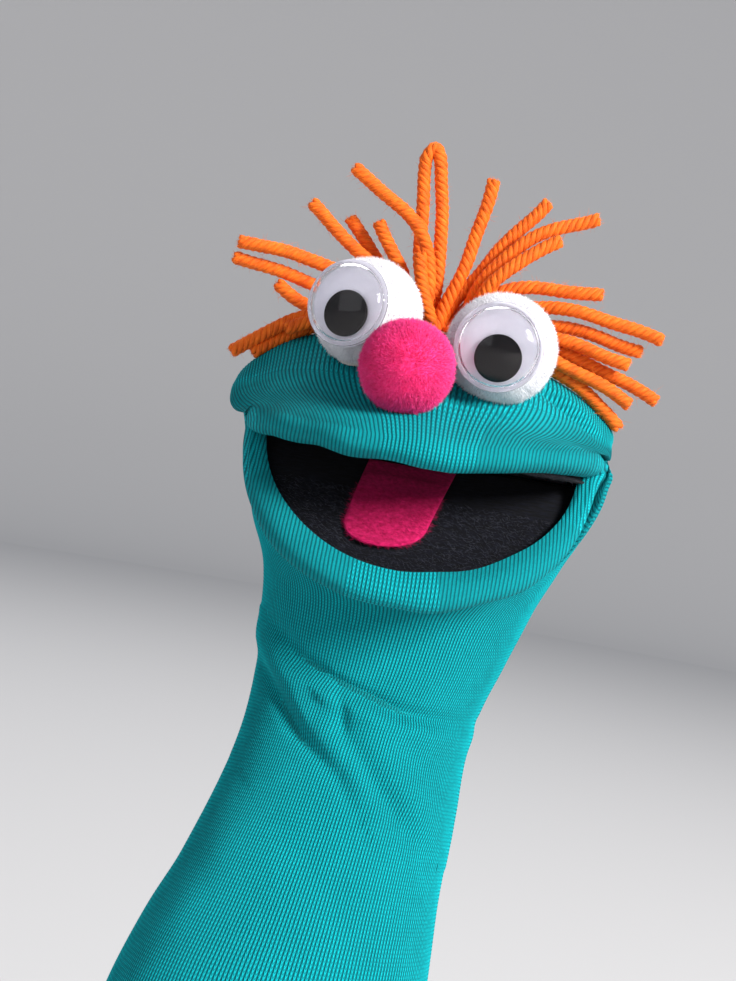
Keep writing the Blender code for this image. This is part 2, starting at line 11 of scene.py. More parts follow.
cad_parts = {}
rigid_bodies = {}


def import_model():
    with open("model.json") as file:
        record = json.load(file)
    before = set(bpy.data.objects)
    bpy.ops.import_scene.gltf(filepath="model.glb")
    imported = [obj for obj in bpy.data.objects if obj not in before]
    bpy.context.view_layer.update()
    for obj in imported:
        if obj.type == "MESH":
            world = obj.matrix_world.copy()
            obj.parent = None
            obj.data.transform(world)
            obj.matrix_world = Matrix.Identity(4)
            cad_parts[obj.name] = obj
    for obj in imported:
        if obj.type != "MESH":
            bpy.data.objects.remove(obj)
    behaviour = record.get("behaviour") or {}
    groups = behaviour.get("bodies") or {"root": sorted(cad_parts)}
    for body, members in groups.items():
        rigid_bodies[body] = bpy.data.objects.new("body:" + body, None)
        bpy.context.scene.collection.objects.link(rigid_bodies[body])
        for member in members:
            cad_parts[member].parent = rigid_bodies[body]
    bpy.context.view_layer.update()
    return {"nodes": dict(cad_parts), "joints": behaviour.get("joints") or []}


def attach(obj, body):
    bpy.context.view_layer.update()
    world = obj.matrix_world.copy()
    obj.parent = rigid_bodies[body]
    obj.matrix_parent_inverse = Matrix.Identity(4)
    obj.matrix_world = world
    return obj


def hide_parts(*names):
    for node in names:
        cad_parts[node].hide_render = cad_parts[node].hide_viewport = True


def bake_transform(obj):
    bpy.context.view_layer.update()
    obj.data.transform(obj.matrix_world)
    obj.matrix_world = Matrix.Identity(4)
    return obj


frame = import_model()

MM = 0.001
JOINT = {j["name"]: j for j in frame["joints"]}
HINGE = tuple(1000 * c for c in JOINT["upper_jaw_lift"]["pos_m"])
OFF = np.array(HINGE)
RNG = np.random.default_rng(7)

MOUTH_A = 45.0
UP_B, LOW_B = 50.0, 51.0
BETA = math.radians(40.0)
CARD_T = 0.8
FELT_T = 0.8
SKIN_GAP = 0.3
NOSE_R = 12.5
EYE_R = 15.0
EYE_DISC_R = 11.6
DOME_R, DOME_T, DOME_H = 9.9, 0.6, 5.2
PUPIL_R, PUPIL_T, PUPIL_OFF = 6.1, 1.0, 2.85
YARN_R = 1.7
WALES = 240

# Sections of the sleeve and neck: centre, side (half width, dy, dz), back (dy, dz), front (dy, dz)
TUBE = [
    ((-24.0, -34.0, -265.0), (41.0, 0, 0), (36.0, 0.0), (-36.0, 0.0)),
    ((-23.8, -34.0, -248.0), (40.6, 0, 0), (35.6, 0.0), (-35.6, 0.0)),
    ((-23.4, -34.0, -228.0), (41.6, 0, 0), (36.4, 0.0), (-36.4, 0.0)),
    ((-21.4, -33.0, -192.0), (43.2, 0, 0), (37.2, -1.0), (-37.2, 1.0)),
    ((-17.0, -27.0, -154.0), (42.0, 0, 0), (35.0, -3.0), (-35.0, 3.0)),
    ((-10.4, -13.0, -118.0), (35.6, 0, 0), (29.5, -5.0), (-29.5, 5.0)),
    ((-6.6, -3.0, -97.0), (33.0, 0, 0), (26.0, -5.0), (-26.0, 5.0)),
    ((-3.8, 5.5, -75.0), (32.0, 0, 0), (24.5, -2.0), (-24.5, 2.0)),
    ((-1.4, 8.5, -58.0), (35.2, 0, 0), (26.0, 1.0), (-26.0, -2.0)),
    ((0.2, 8.0, -40.0), (39.2, 0, 1), (27.5, 4.0), (-27.0, -5.0)),
]
# Sections of the head, from the throat to the back of the lips
HEAD = [
    ((0.0, 8.0, -23.0), (45.5, 0, 2), (30.5, 10.0), (-31.0, -18.5)),
    ((0.0, 5.0, -7.0), (51.0, 2, 2), (32.0, 18.0), (-33.0, -33.5)),
    ((0.0, 1.5, 4.0), (54.0, 2, 2), (24.0, 26.0), (-33.0, -44.0)),
    ((0.0, -1.0, 6.0), (54.6, 2.5, 1), (5.0, 28.5), (-32.4, -45.6)),
    ((0.0, -2.0, 5.5), (53.6, 2.0, 0.5), (-18.0, 18.0), (-32.0, -45.0)),
    ((0.0, -2.0, 4.5), (52.4, 1.0, -1.0), (-36.0, 7.5), (-32.8, -43.8)),
]
CORNER_DIP = [0.0, 1.5, 4.0, 5.0, 4.5, 3.0]
PSI0, PSI1 = 88.0, -105.0        # the lip rolls from its outer side round to the mouth side
LIP_ROWS = 6
K_LIP = len(TUBE) + len(HEAD)
K_MAX = K_LIP + LIP_ROWS - 1


def unit(v):
    return v / np.maximum(np.linalg.norm(v, axis=-1, keepdims=True), 1e-12)


def section(c, side, back, front, phi):
    co, si = np.cos(phi), np.sin(phi)
    up, dn, a = np.maximum(si, 0), np.maximum(-si, 0), np.abs(co)
    return np.stack([
        c[0] + side[0] * co,
        c[1] + side[1] * a + up * back[0] + dn * front[0],
        c[2] + side[2] * a + up * back[1] + dn * front[1],
    ], -1)


def corner(phi, width):
    """1 at the mouth's two corners, fading over that many degrees."""
    return np.exp(-(np.degrees(np.arcsin(np.clip(np.sin(phi), -1, 1))) / width) ** 2)


def lip(psi, phi):
    """A point of the rolled lip: psi 90 is its outer side, 0 its front, -90 the mouth side."""
    co, si = np.cos(phi), np.sin(phi)
    up, s = si >= 0, np.abs(si)
    cb, sb = math.cos(BETA), math.sin(BETA)
    zero = np.zeros_like(s)
    x = MOUTH_A * co + np.where(up, 0.0, -3.0) * s ** 2
    edge = np.where(up[..., None], np.stack([x, -UP_B * s, zero], -1), np.stack([x, -LOW_B * cb * s, -LOW_B * sb * s], -1))
    n = np.where(up[..., None], unit(np.stack([co / MOUTH_A, -s / UP_B, zero], -1)),
                 unit(np.stack([co / MOUTH_A, -s * cb / LOW_B, -s * sb / LOW_B], -1)))
    w = (0.5 + 0.5 * np.tanh(np.degrees(np.arcsin(si)) / 9.0))[..., None]
    m = unit(w * np.array([0.0, 0.0, 1.0]) + (1 - w) * np.array([0.0, sb, -cb]))
    r = np.where(up, 5.2 + 0.4 * s, 5.4 + 2.0 * s ** 1.5)
    ps = np.radians(psi)
    off = n * (r * (1.0 + 0.12 * s) * np.cos(ps))[..., None] + m * (r * np.sin(ps))[..., None]
    return edge + off + m * (0.5 * r * np.clip(-np.sin(ps), 0, 1))[..., None]


def key_rows(phi):
    out = [section(*t, phi) for t in TUBE]
    for h, dip in zip(HEAD, CORNER_DIP):
        p = section(*h, phi)
        p[..., 0] -= np.sign(np.cos(phi)) * dip * corner(phi, 9.0)
        out.append(p)
    start = PSI0 - 62.0 * corner(phi, 16.0)
    return out + [lip(start + (PSI1 - start) * j / (LIP_ROWS - 1), phi) for j in range(LIP_ROWS)]


def sock(phi, k):
    """The sock's outer surface at angle phi and section k: a smooth curve through the sections."""
    r = key_rows(phi)
    i = min(int(min(max(k, 0), K_MAX)), K_MAX - 1)
    t = k - i
    p1, p2 = r[i], r[i + 1]
    p0 = r[i - 1] if i else 2 * p1 - p2
    p3 = r[i + 2] if i + 2 <= K_MAX else 2 * p2 - p1
    d1, d2, d3 = (np.linalg.norm(b - a, axis=-1, keepdims=True) ** 0.5 + 1e-6 for a, b in ((p0, p1), (p1, p2), (p2, p3)))
    m1 = ((p1 - p0) / d1 - (p2 - p0) / (d1 + d2) + (p2 - p1) / d2) * d2
    m2 = ((p2 - p1) / d2 - (p3 - p1) / (d2 + d3) + (p3 - p2) / d3) * d2
    return (2 * t**3 - 3 * t**2 + 1) * p1 + (t**3 - 2 * t**2 + t) * m1 + (-2 * t**3 + 3 * t**2) * p2 + (t**3 - t**2) * m2



# ---------------------------------------------------------------- the worn surface of the sock

_key_rows_cad = key_rows


def key_rows(phi):
    """The sections as the fabric really lies: the upper jaw has no groove behind its lip, its cloth runs straight over the edge."""
    out = _key_rows_cad(phi)
    si = np.sin(phi)
    up = np.clip(si * 6.0 + 0.2, 0, 1)
    up = (up * up * (3 - 2 * up))
    start = (PSI0 - 62.0 * corner(phi, 16.0)) * (1 - up) + 40.0 * up
    for j in range(LIP_ROWS):
        out[K_LIP + j] = roll(start + (PSI1 - start) * j / (LIP_ROWS - 1), phi)
    # the upper jaw sags in its middle and is drawn up towards the left corner of the mouth
    for i in range(12, K_MAX + 1):
        p = out[i]
        w = min(1.0, max(0.0, (i - 12.0) / 4.0))
        sag = np.interp(p[..., 0], [-54, -42, -20, 6, 20, 35, 50], [0.0, 0.0, -1.9, -1.7, 0.3, 2.6, 4.6])
        pull = 4.6 * np.clip((p[..., 0] - 39) / 10, 0, 1) ** 1.5
        p[..., 2] += w * (up * sag + (1 - up) * pull)
    # the upper jaw's cloth is full at its right end, and only half as pinched at its left
    for i, dip in zip(range(10, 16), CORNER_DIP):
        p = out[i]
        p[..., 0] += np.sign(np.cos(phi)) * dip * corner(phi, 9.0) * up * np.where(np.cos(phi) < 0, 0.9, 0.35)
    # the cheek below the right corner of the mouth is drawn in behind the lower lip
    low = np.clip(0.35 - si * 5.0, 0, 1)
    for i in range(10, 16):
        p = out[i]
        p[..., 0] += low * min(1.0, (i - 9) / 2.0) * 0.62 * np.maximum(-45.5 - p[..., 0], 0)
    # and its crown slopes down a little on that side
    for i in range(10, 16):
        p = out[i]
        p[..., 2] -= 2.2 * up * np.clip((p[..., 0] - 12) / 20, 0, 1) * np.clip((56 - p[..., 0]) / 8, 0, 1)
    return out


def roll(psi, phi):
    """The lip as the fabric rolls round the card: a tighter roll on the lower jaw than the card's own."""
    co, si = np.cos(phi), np.sin(phi)
    up, s = si >= 0, np.abs(si)
    zero = np.zeros_like(s)
    x = MOUTH_A * co + np.where(up, 0.0, -3.0) * s ** 2
    low = LOW_B + 5.2
    cb, sb = math.cos(BETA), math.sin(BETA)
    edge = np.where(up[..., None], np.stack([x, -UP_B * s, zero], -1), np.stack([x, -low * cb * s, -low * sb * s], -1))
    n = np.where(up[..., None], unit(np.stack([co / MOUTH_A, -s / UP_B, zero], -1)),
                 unit(np.stack([co / MOUTH_A, -s * cb / low, -s * sb / low], -1)))
    w = (0.5 + 0.5 * np.tanh(np.degrees(np.arcsin(si)) / 9.0))[..., None]
    m = unit(w * np.array([0.0, 0.0, 1.0]) + (1 - w) * np.array([0.0, sb, -cb]))
    r = np.where(up, 5.0 + 0.4 * s, 4.8 + 0.7 * s ** 1.5)
    more = np.where(up, 0.35, 0.18)
    ps = np.radians(psi)
    off = n * (r * (1.0 + 0.12 * s) * np.cos(ps))[..., None] + m * (r * np.sin(ps))[..., None]
    return edge + off + m * (more * r * np.clip(-np.sin(ps), 0, 1))[..., None]


def warp(theta, k):
    """Column angle to surface angle: the seam between the jaws runs down to the mouth's fold on each cheek."""
    t = np.clip((k - 11.3) / 1.5, 0, 1) * np.clip((16.4 - k) / 1.2, 0, 1)
    return theta - math.radians(8.0) * t * np.cos(theta)


COLS = WALES * 3
THETA = np.arange(COLS) / COLS * 2 * math.pi


def row_ks():
    """Section numbers about 1.65 mm apart along the sleeve and 1.2 mm apart over the head."""
    probe = np.radians([20.0, 90.0, 160.0, 270.0])
    ks = np.linspace(0, K_MAX, 1600)
    pts = np.stack([sock(probe, k) for k in ks])
    step = np.linalg.norm(np.diff(pts, axis=0), axis=2).mean(axis=1) / np.where(ks[1:] < 8.0, 1.65, 1.2)
    s = np.concatenate([[0], np.cumsum(step)])
    return np.interp(np.linspace(0, s[-1], int(s[-1])), s, ks)


KS = row_ks()


def seg_dist(p, a, b):
    a, b = np.array(a, float), np.array(b, float)
    d = b - a
    t = np.clip(((p - a) @ d) / (d @ d), 0, 1)
    q = p - (a + t[..., None] * d)
    cross = d[0] * (p[..., 1] - a[1]) - d[1] * (p[..., 0] - a[0])
    return np.linalg.norm(q, axis=-1), np.sign(cross), t


def crease(p, line, width, depth, bulge, side=1.0):
    """A soft fold along a line on the front (x, z): a valley with a rolled ridge on one side of it, fading at both ends."""
    pts = np.array(line, float)
    seg = np.linalg.norm(np.diff(pts, axis=0), axis=1)
    total = seg.sum()
    best = np.full(p.shape[:-1], 1e9)
    sgn = np.zeros(p.shape[:-1])
    along = np.zeros(p.shape[:-1])
    run = 0.0
    for a, b, l in zip(pts[:-1], pts[1:], seg):
        d, s, t = seg_dist(p, a, b)
        m = d < best
        best = np.where(m, d, best)
        sgn = np.where(m, s, sgn)
        along = np.where(m, (run + t * l) / total, along)
        run += l
    fade = np.clip(np.sin(math.pi * np.clip(along, 0.02, 0.98)), 0, 1) ** 0.6
    sd = best * sgn * side
    valley = -depth * np.exp(-(sd / width) ** 2)
    ridge = bulge * np.exp(-((sd - 2.3 * width) / (1.9 * width)) ** 2)
    return (valley + ridge) * fade


def smooth_noise(p, scale, seed=0.0):
    """Value noise on a grid of points, cheap and repeatable."""
    q = p * scale
    a = np.sin(q[..., 0] * 1.7 + seed) * np.cos(q[..., 1] * 2.3 + seed * 1.3) + np.sin(q[..., 2] * 1.9 + q[..., 0] * 0.8 + seed * 2.1)
    b = np.sin(q[..., 2] * 3.1 - q[..., 1] * 1.4 + seed * 0.7) * np.cos(q[..., 0] * 2.6 + seed)
    return (a + 0.6 * b) / 2.2


def grid_normals(g):
    du = np.roll(g, -1, axis=1) - np.roll(g, 1, axis=1)
    dv = np.empty_like(g)
    dv[1:-1] = g[2:] - g[:-2]
    dv[0], dv[-1] = g[1] - g[0], g[-1] - g[-2]
    return unit(np.cross(du, dv))


GRID = np.stack([sock(warp(THETA, k), k) for k in KS])
BASE = GRID.copy()
N0 = grid_normals(GRID)
front = 1 / (1 + np.exp((N0[..., 1] - 0.02) * 14))
xz = GRID[..., [0, 2]]
KK = KS[:, None]
sleeve_zone = np.clip((10.3 - KK) / 0.8, 0, 1)
d = np.zeros(GRID.shape[:2])
# the folds round the wrist where the hand bends
d += crease(xz, [(-34, -53), (-23, -62), (-12, -66), (6, -71), (28, -73)], 1.9, 2.6, 2.6, -1) * front * sleeve_zone
d += crease(xz, [(-37, -63), (-20, -81), (-8, -89), (-1, -97)], 2.0, 2.2, 2.2, 1) * front * sleeve_zone
d += crease(xz, [(-13, -74), (2, -89), (10, -97), (20, -107)], 2.3, 1.6, 1.7, 1) * front * sleeve_zone
d += crease(xz, [(-12, -66), (-9, -74), (-8, -80)], 1.6, 1.0, 1.0, -1) * front * sleeve_zone
d += crease(xz, [(-26, -100), (-10, -112), (4, -120)], 4.0, 0.7, 0.6, 1) * front * sleeve_zone
# soft folds behind the wrist and at the heel of the hand
back = 1 - front
d += crease(xz, [(-34, -92), (-12, -86), (10, -84), (24, -90)], 2.6, 1.1, 1.0, 1) * back * sleeve_zone
d += crease(xz, [(-30, -104), (-8, -98), (14, -98), (26, -104)], 3.0, 0.8, 0.8, 1) * back * sleeve_zone
d += crease(xz, [(-28, -52), (-8, -56), (14, -56), (30, -50)], 3.4, 0.6, 0.7, -1) * back * sleeve_zone
d += smooth_noise(GRID, 0.045, 1.0) * 0.55 * np.clip((KK - 1.8) / 0.6, 0, 1) * np.clip((15.5 - KK) / 1.5, 0, 1)
d += smooth_noise(GRID, 0.11, 4.0) * 0.22 * np.clip((KK - 1.8) / 0.6, 0, 1)
# wrinkles that run along the lower lip near the mouth's corners
ang = np.degrees(np.arcsin(np.clip(np.sin(THETA), -1, 1)))[None, :]
lipz = np.clip((KK - 15.6) / 0.7, 0, 1)
near = np.exp(-((ang + 13.0) / 13.0) ** 2) * lipz
d += 0.42 * np.sin(KK * 2 * math.pi * 0.95 + 0.05 * ang) * near
# the lip is not perfectly even
d += 0.35 * np.sin(np.radians(ang) * 9 + np.cos(THETA)[None, :] * 5) * lipz * np.clip(np.abs(ang) / 30 - 0.5, 0, 1)
# a sharp little fold on the crown beside the hair
topz = np.clip((KK - 12.0) / 0.5, 0, 1) * np.clip((15.9 - KK) / 0.5, 0, 1)
xy = GRID[..., [0, 2]]
d += crease(xy, [(27, 23.5), (34, 20.0), (41, 16.0), (47, 11.5)], 1.1, 2.3, 0.9, 1) * topz * (N0[..., 2] > -0.2)
# ribbed cuff: 1 by 1 ribs, drawn in a little, with a rolled end
cuffz = np.clip((1.78 - KK) / 0.06, 0, 1)
ribs = np.cos(THETA * WALES / 2)[None, :]
d += cuffz * (0.42 * ribs - 0.45)
zc = GRID[..., 2] + 265.0
d -= 1.1 * np.clip(1 - zc / 1.5, 0, 1) ** 2 * (zc < 1.5)
# the step where the turned-over rib ends
d += 0.5 * np.exp(-((zc - 30.0) / 1.2) ** 2) * cuffz
# wales: one raised line of stitches each
d += (0.09 * np.cos(THETA * WALES)[None, :]) * (1 - cuffz) * np.clip((15.6 - KK) / 1.2, 0, 1)
# the upper jaw stands out beyond the lower one at the right corner of the mouth, where the lower lip tucks in
above = 180.0 - np.degrees(THETA)[None, :]
d += 2.6 * np.exp(-((above - 19.0) / 11.0) ** 2) * np.clip((KK - 12.6) / 1.5, 0, 1) * np.clip((17.2 - KK) / 1.4, 0, 1)

GRID = GRID + N0 * d[..., None]
# a pinch of cloth sticks out at each mouth corner
for sx, (px, py, pz), amp in ((1, (51.0, -1.0, 3.0), 2.6), (-1, (-51.0, -1.0, 4.0), 1.2)):
    r = np.linalg.norm((BASE - np.array([px, py, pz])) / np.array([6.0, 7.0, 4.0]), axis=-1)
    GRID[..., 0] += sx * amp * np.exp(-r ** 2)
NRM = grid_normals(GRID)

# texture coordinates: whole wales round the sock, courses along it
arc = np.concatenate([[0], np.cumsum(np.linalg.norm(np.diff(BASE, axis=0), axis=2).mean(axis=1))])
U = np.tile(np.arange(COLS) / 3.0, (len(KS), 1)) + 0.5
V = np.tile((arc / 1.05)[:, None], (1, COLS))


def np_mesh(name, verts, quads=None, tris=None, uv=None, normals=None, smooth=True):
    """A mesh from arrays; verts are millimetres in the head's frame."""
    me = bpy.data.meshes.new(name)
    verts = np.asarray(verts, float).reshape(-1, 3)
    loops, starts, totals = [], [], []
    n = 0
    for f, k in ((quads, 4), (tris, 3)):
        if f is None or not len(f):
            continue
        f = np.asarray(f, np.int32).reshape(-1, k)
        loops.append(f.ravel())
        starts.append(n + np.arange(len(f)) * k)
        totals.append(np.full(len(f), k))
        n += f.size
    loops, starts, totals = np.concatenate(loops), np.concatenate(starts), np.concatenate(totals)
    me.vertices.add(len(verts))
    me.vertices.foreach_set("co", ((verts + OFF) * MM).astype(np.float32).ravel())
    me.loops.add(len(loops))
    me.loops.foreach_set("vertex_index", loops.astype(np.int32))
    me.polygons.add(len(starts))
    me.polygons.foreach_set("loop_start", starts.astype(np.int32))
    if uv is not None:
        layer = me.uv_layers.new(name="UVMap")
        layer.data.foreach_set("uv", np.asarray(uv, np.float32).reshape(-1, 2)[loops].ravel())
    me.update(calc_edges=True)
    me.validate()
    if smooth:
        me.shade_smooth()
    if normals is not None:
        me.normals_split_custom_set_from_vertices(np.asarray(normals, np.float32).reshape(-1, 3))
    o = bpy.data.objects.new(name, me)
    bpy.context.scene.collection.objects.link(o)
    return o


def cut_grid(name, r0, r1, cols, closed=False, tuck=None):
    """A stretch of the full grid as its own piece; tuck sinks the listed columns a little under their neighbour."""
    g, nn = GRID[r0:r1, cols].copy(), NRM[r0:r1, cols]
    if tuck is not None:
        g -= nn * np.asarray(tuck)[None, :, None]
    u, v = U[r0:r1][:, cols].copy(), V[r0:r1, cols]
    if closed:
        g = np.concatenate([g, g[:, :1]], 1)
        nn = np.concatenate([nn, nn[:, :1]], 1)
        u = np.concatenate([u, u[:, :1] + WALES], 1)
        v = np.concatenate([v, v[:, :1]], 1)
    else:
        un = np.arange(len(cols)) / 3.0 + cols[0] / 3.0 + 0.5
        u = np.tile(un, (g.shape[0], 1))
        # over the lips the wales keep straight on, so they run along the roll at the sides of the mouth
        w = np.clip((KS[r0:r1] - 14.2) / 2.2, 0, 1)[:, None]
        w = w * w * (3 - 2 * w)
        b = BASE[r0:r1, cols]
        lowside = np.sin(THETA[cols])[None, :].mean() < 0
        straight = (b[..., 0] / 1.02) * (1.0 if lowside else -1.0) + un[len(un) // 2]
        u = u * (1 - w) + straight * w
        side = w * np.clip(np.abs(np.cos(THETA[cols]))[None, :] * 1.5 - 0.35, 0, 1)
        run = -(b[..., 1] * math.cos(BETA) + b[..., 2] * math.sin(BETA)) if lowside else -b[..., 1]
        v = v * (1 - side) + run / 0.95 * side
    m, n = g.shape[:2]
    idx = np.arange(m * n).reshape(m, n)
    quads = np.stack([idx[:-1, :-1], idx[:-1, 1:], idx[1:, 1:], idx[1:, :-1]], -1).reshape(-1, 4)
    o = np_mesh(name, g, quads, uv=np.stack([u, v], -1), normals=nn)
    if closed:
        bm = bmesh.new()
        bm.from_mesh(o.data)
        bmesh.ops.remove_doubles(bm, verts=[w for w in bm.verts if w.is_boundary], dist=1e-7)
        bm.to_mesh(o.data)
        bm.free()
    return o


# ---------------------------------------------------------------- materials
def new_mat(name):
    m = bpy.data.materials.new(name)
    m.use_nodes = True
    nt = m.node_tree
    b = nt.nodes["Principled BSDF"]
    return m, nt, b


def node(nt, kind, **kw):
    n = nt.nodes.new(kind)
    for k, v in kw.items():
        if k in ("inputs",):
            for a, c in v.items():
                n.inputs[a].default_value = c
        else:
            setattr(n, k, v)
    return n


def math_node(nt, op, a, b=None, clamp=False):
    n = nt.nodes.new("ShaderNodeMath")
    n.operation = op
    n.use_clamp = clamp
    for i, x in enumerate((a, b)):
        if x is None:
            continue
        if isinstance(x, (int, float)):
            n.inputs[i].default_value = x
        else:
            nt.links.new(x, n.inputs[i])
    return n.outputs[0]


def ramp(nt, fac, stops):
    n = nt.nodes.new("ShaderNodeValToRGB")
    cr = n.color_ramp
    while len(cr.elements) < len(stops):
        cr.elements.new(0.5)
    for e, (p, c) in zip(cr.elements, stops):
        e.position = p
        e.color = (*c, 1.0)
    nt.links.new(fac, n.inputs[0])
    return n.outputs[0]


def knit_mat(name, dark, mid, light, bump=0.9, rib=False):
    m, nt, b = new_mat(name)
    L = nt.links
    uv = nt.nodes.new("ShaderNodeUVMap")
    uv.uv_map = "UVMap"
    sep = nt.nodes.new("ShaderNodeSeparateXYZ")
    L.new(uv.outputs[0], sep.inputs[0])
    co = nt.nodes.new("ShaderNodeTexCoord")
    wob = node(nt, "ShaderNodeTexNoise", inputs={"Scale": 260.0, "Detail": 2.0})
    L.new(co.outputs["Object"], wob.inputs["Vector"])
    w = math_node(nt, "MULTIPLY", math_node(nt, "SUBTRACT", wob.outputs["Fac"], 0.5), 0.22)
    u = math_node(nt, "ADD", sep.outputs[0], w)
    fx = math_node(nt, "SUBTRACT", math_node(nt, "FRACT", u), 0.5)
    ax = math_node(nt, "ABSOLUTE", fx)
    # a wale is one column of V stitches: two slanting legs, with a deep gap to the next wale
    gap = math_node(nt, "MULTIPLY", math_node(nt, "SUBTRACT", 0.5, ax), 2.5, True)
    gap = math_node(nt, "POWER", gap, 0.85)
    leg = math_node(nt, "SUBTRACT", 1.0, math_node(nt, "MULTIPLY", math_node(nt, "ABSOLUTE", math_node(nt, "SUBTRACT", ax, 0.22)), 2.6), True)
    vv = math_node(nt, "ADD", math_node(nt, "ADD", sep.outputs[1], math_node(nt, "MULTIPLY", ax, -1.7)), math_node(nt, "MULTIPLY", w, 1.5))
    s = math_node(nt, "FRACT", vv)
    st = math_node(nt, "SUBTRACT", 1.0, math_node(nt, "MULTIPLY", math_node(nt, "ABSOLUTE", math_node(nt, "SUBTRACT", s, 0.5)), 2.0), True)
    st = math_node(nt, "POWER", st, 0.6)
    h = math_node(nt, "MULTIPLY", math_node(nt, "MULTIPLY", gap, math_node(nt, "ADD", math_node(nt, "MULTIPLY", leg, 0.35), 0.65)), math_node(nt, "ADD", math_node(nt, "MULTIPLY", st, 0.62), 0.38))
    fine = node(nt, "ShaderNodeTexNoise", inputs={"Scale": 2600.0, "Detail": 3.0, "Roughness": 0.7})
    L.new(co.outputs["Object"], fine.inputs["Vector"])
    h2 = math_node(nt, "ADD", math_node(nt, "MULTIPLY", h, 0.82), math_node(nt, "MULTIPLY", fine.outputs["Fac"], 0.30))
    # the ramp paints the gaps between the wales and the dips between stitches in the dark colour as painted shade, and
    # the tops of the stitch legs in the light colour as a painted highlight; the mid colour is the yarn's own teal, and
    # the fine noise adds random tone
    col = ramp(nt, h2, [(0.10, dark), (0.52, mid), (0.95, light)])
    patch = node(nt, "ShaderNodeTexNoise", inputs={"Scale": 55.0, "Detail": 4.0, "Roughness": 0.6})
    L.new(co.outputs["Object"], patch.inputs["Vector"])
    hsv = nt.nodes.new("ShaderNodeHueSaturation")
    L.new(col, hsv.inputs["Color"])
    L.new(math_node(nt, "ADD", math_node(nt, "MULTIPLY", patch.outputs["Fac"], 0.30), 0.85), hsv.inputs["Value"])
    L.new(hsv.outputs[0], b.inputs["Base Color"])
    bp = node(nt, "ShaderNodeBump", inputs={"Strength": bump, "Distance": 0.0005})
    L.new(h2, bp.inputs["Height"])
    L.new(bp.outputs[0], b.inputs["Normal"])
    b.inputs["Roughness"].default_value = 0.86
    b.inputs["Specular IOR Level"].default_value = 0.12
    b.inputs["Sheen Weight"].default_value = 0.05
    b.inputs["Sheen Roughness"].default_value = 0.5
    b.inputs["Sheen Tint"].default_value = (0.05, 0.75, 0.85, 1.0)
    return m


def fibre_mat(name, dark, light, scale=(900.0, 900.0, 900.0), rough=0.95, bump=0.6, dist=0.00025, sheen=0.3, tint=(1, 1, 1), lo=0.3, hi=0.72, sub=0.0):
    m, nt, b = new_mat(name)
    L = nt.links
    co = nt.nodes.new("ShaderNodeTexCoord")
    mp = nt.nodes.new("ShaderNodeMapping")
    mp.inputs["Scale"].default_value = scale
    L.new(co.outputs["Object"], mp.inputs[0])
    n = node(nt, "ShaderNodeTexNoise", inputs={"Scale": 1.0, "Detail": 5.0, "Roughness": 0.65})
    L.new(mp.outputs[0], n.inputs["Vector"])
    col = ramp(nt, n.outputs["Fac"], [(lo, dark), (hi, light)])
    big = node(nt, "ShaderNodeTexNoise", inputs={"Scale": 180.0, "Detail": 2.0})
    L.new(co.outputs["Object"], big.inputs["Vector"])
    hsv = nt.nodes.new("ShaderNodeHueSaturation")
    L.new(col, hsv.inputs["Color"])
    L.new(math_node(nt, "ADD", math_node(nt, "MULTIPLY", big.outputs["Fac"], 0.36), 0.82), hsv.inputs["Value"])
    L.new(hsv.outputs[0], b.inputs["Base Color"])
    bp = node(nt, "ShaderNodeBump", inputs={"Strength": bump, "Distance": dist})
    L.new(n.outputs["Fac"], bp.inputs["Height"])
    L.new(bp.outputs[0], b.inputs["Normal"])
    b.inputs["Roughness"].default_value = rough
    b.inputs["Specular IOR Level"].default_value = 0.15
    b.inputs["Sheen Weight"].default_value = sheen
    b.inputs["Sheen Tint"].default_value = (*tint, 1.0)
    b.inputs["Subsurface Weight"].default_value = sub
    b.inputs["Subsurface Scale"].default_value = 0.002
    return m


def plastic_mat(name, color, rough, spec=0.5, scale=700.0, amount=0.08, coat=0.0):
    m, nt, b = new_mat(name)
    L = nt.links
    co = nt.nodes.new("ShaderNodeTexCoord")
    n = node(nt, "ShaderNodeTexNoise", inputs={"Scale": scale, "Detail": 3.0})
    L.new(co.outputs["Object"], n.inputs["Vector"])
    dk = tuple(c * (1 - amount) for c in color)
    L.new(ramp(nt, n.outputs["Fac"], [(0.3, dk), (0.7, color)]), b.inputs["Base Color"])
    bp = node(nt, "ShaderNodeBump", inputs={"Strength": 0.05, "Distance": 0.0001})
    L.new(n.outputs["Fac"], bp.inputs["Height"])
    L.new(bp.outputs[0], b.inputs["Normal"])
    b.inputs["Roughness"].default_value = rough
    b.inputs["Specular IOR Level"].default_value = spec
    b.inputs["Coat Weight"].default_value = coat
    return m


# in both knits the first colour is painted shade for the grooves between stitches and the last colour a painted
# highlight on the stitch tops; the middle colour is the yarn's own teal
KNIT = knit_mat("knit_teal", (0.0005, 0.052, 0.064), (0.0008, 0.225, 0.262), (0.003, 0.58, 0.64))
KNIT_IN = knit_mat("knit_teal_inside", (0.0012, 0.07, 0.08), (0.003, 0.20, 0.23), (0.008, 0.38, 0.40))
FELT = fibre_mat("felt_black", (0.0006, 0.0008, 0.0020), (0.0055, 0.0065, 0.0140), scale=(330.0, 1500.0, 1500.0), bump=0.8, sheen=0.03, lo=0.42, hi=0.78)
TONGUE = fibre_mat("felt_red", (0.30, 0.002, 0.050), (0.62, 0.014, 0.125), scale=(900.0, 900.0, 900.0), bump=0.7, sheen=0.08, tint=(1.0, 0.3, 0.5))
PINK = fibre_mat("pompom_pink", (0.78, 0.016, 0.17), (1.0, 0.075, 0.33), scale=(1100.0,) * 3, bump=0.4, sheen=0.25, tint=(1.0, 0.45, 0.65))
WHITE = fibre_mat("pompom_white", (0.80, 0.79, 0.83), (0.88, 0.87, 0.91), scale=(1100.0,) * 3, bump=0.3, sheen=0.2)
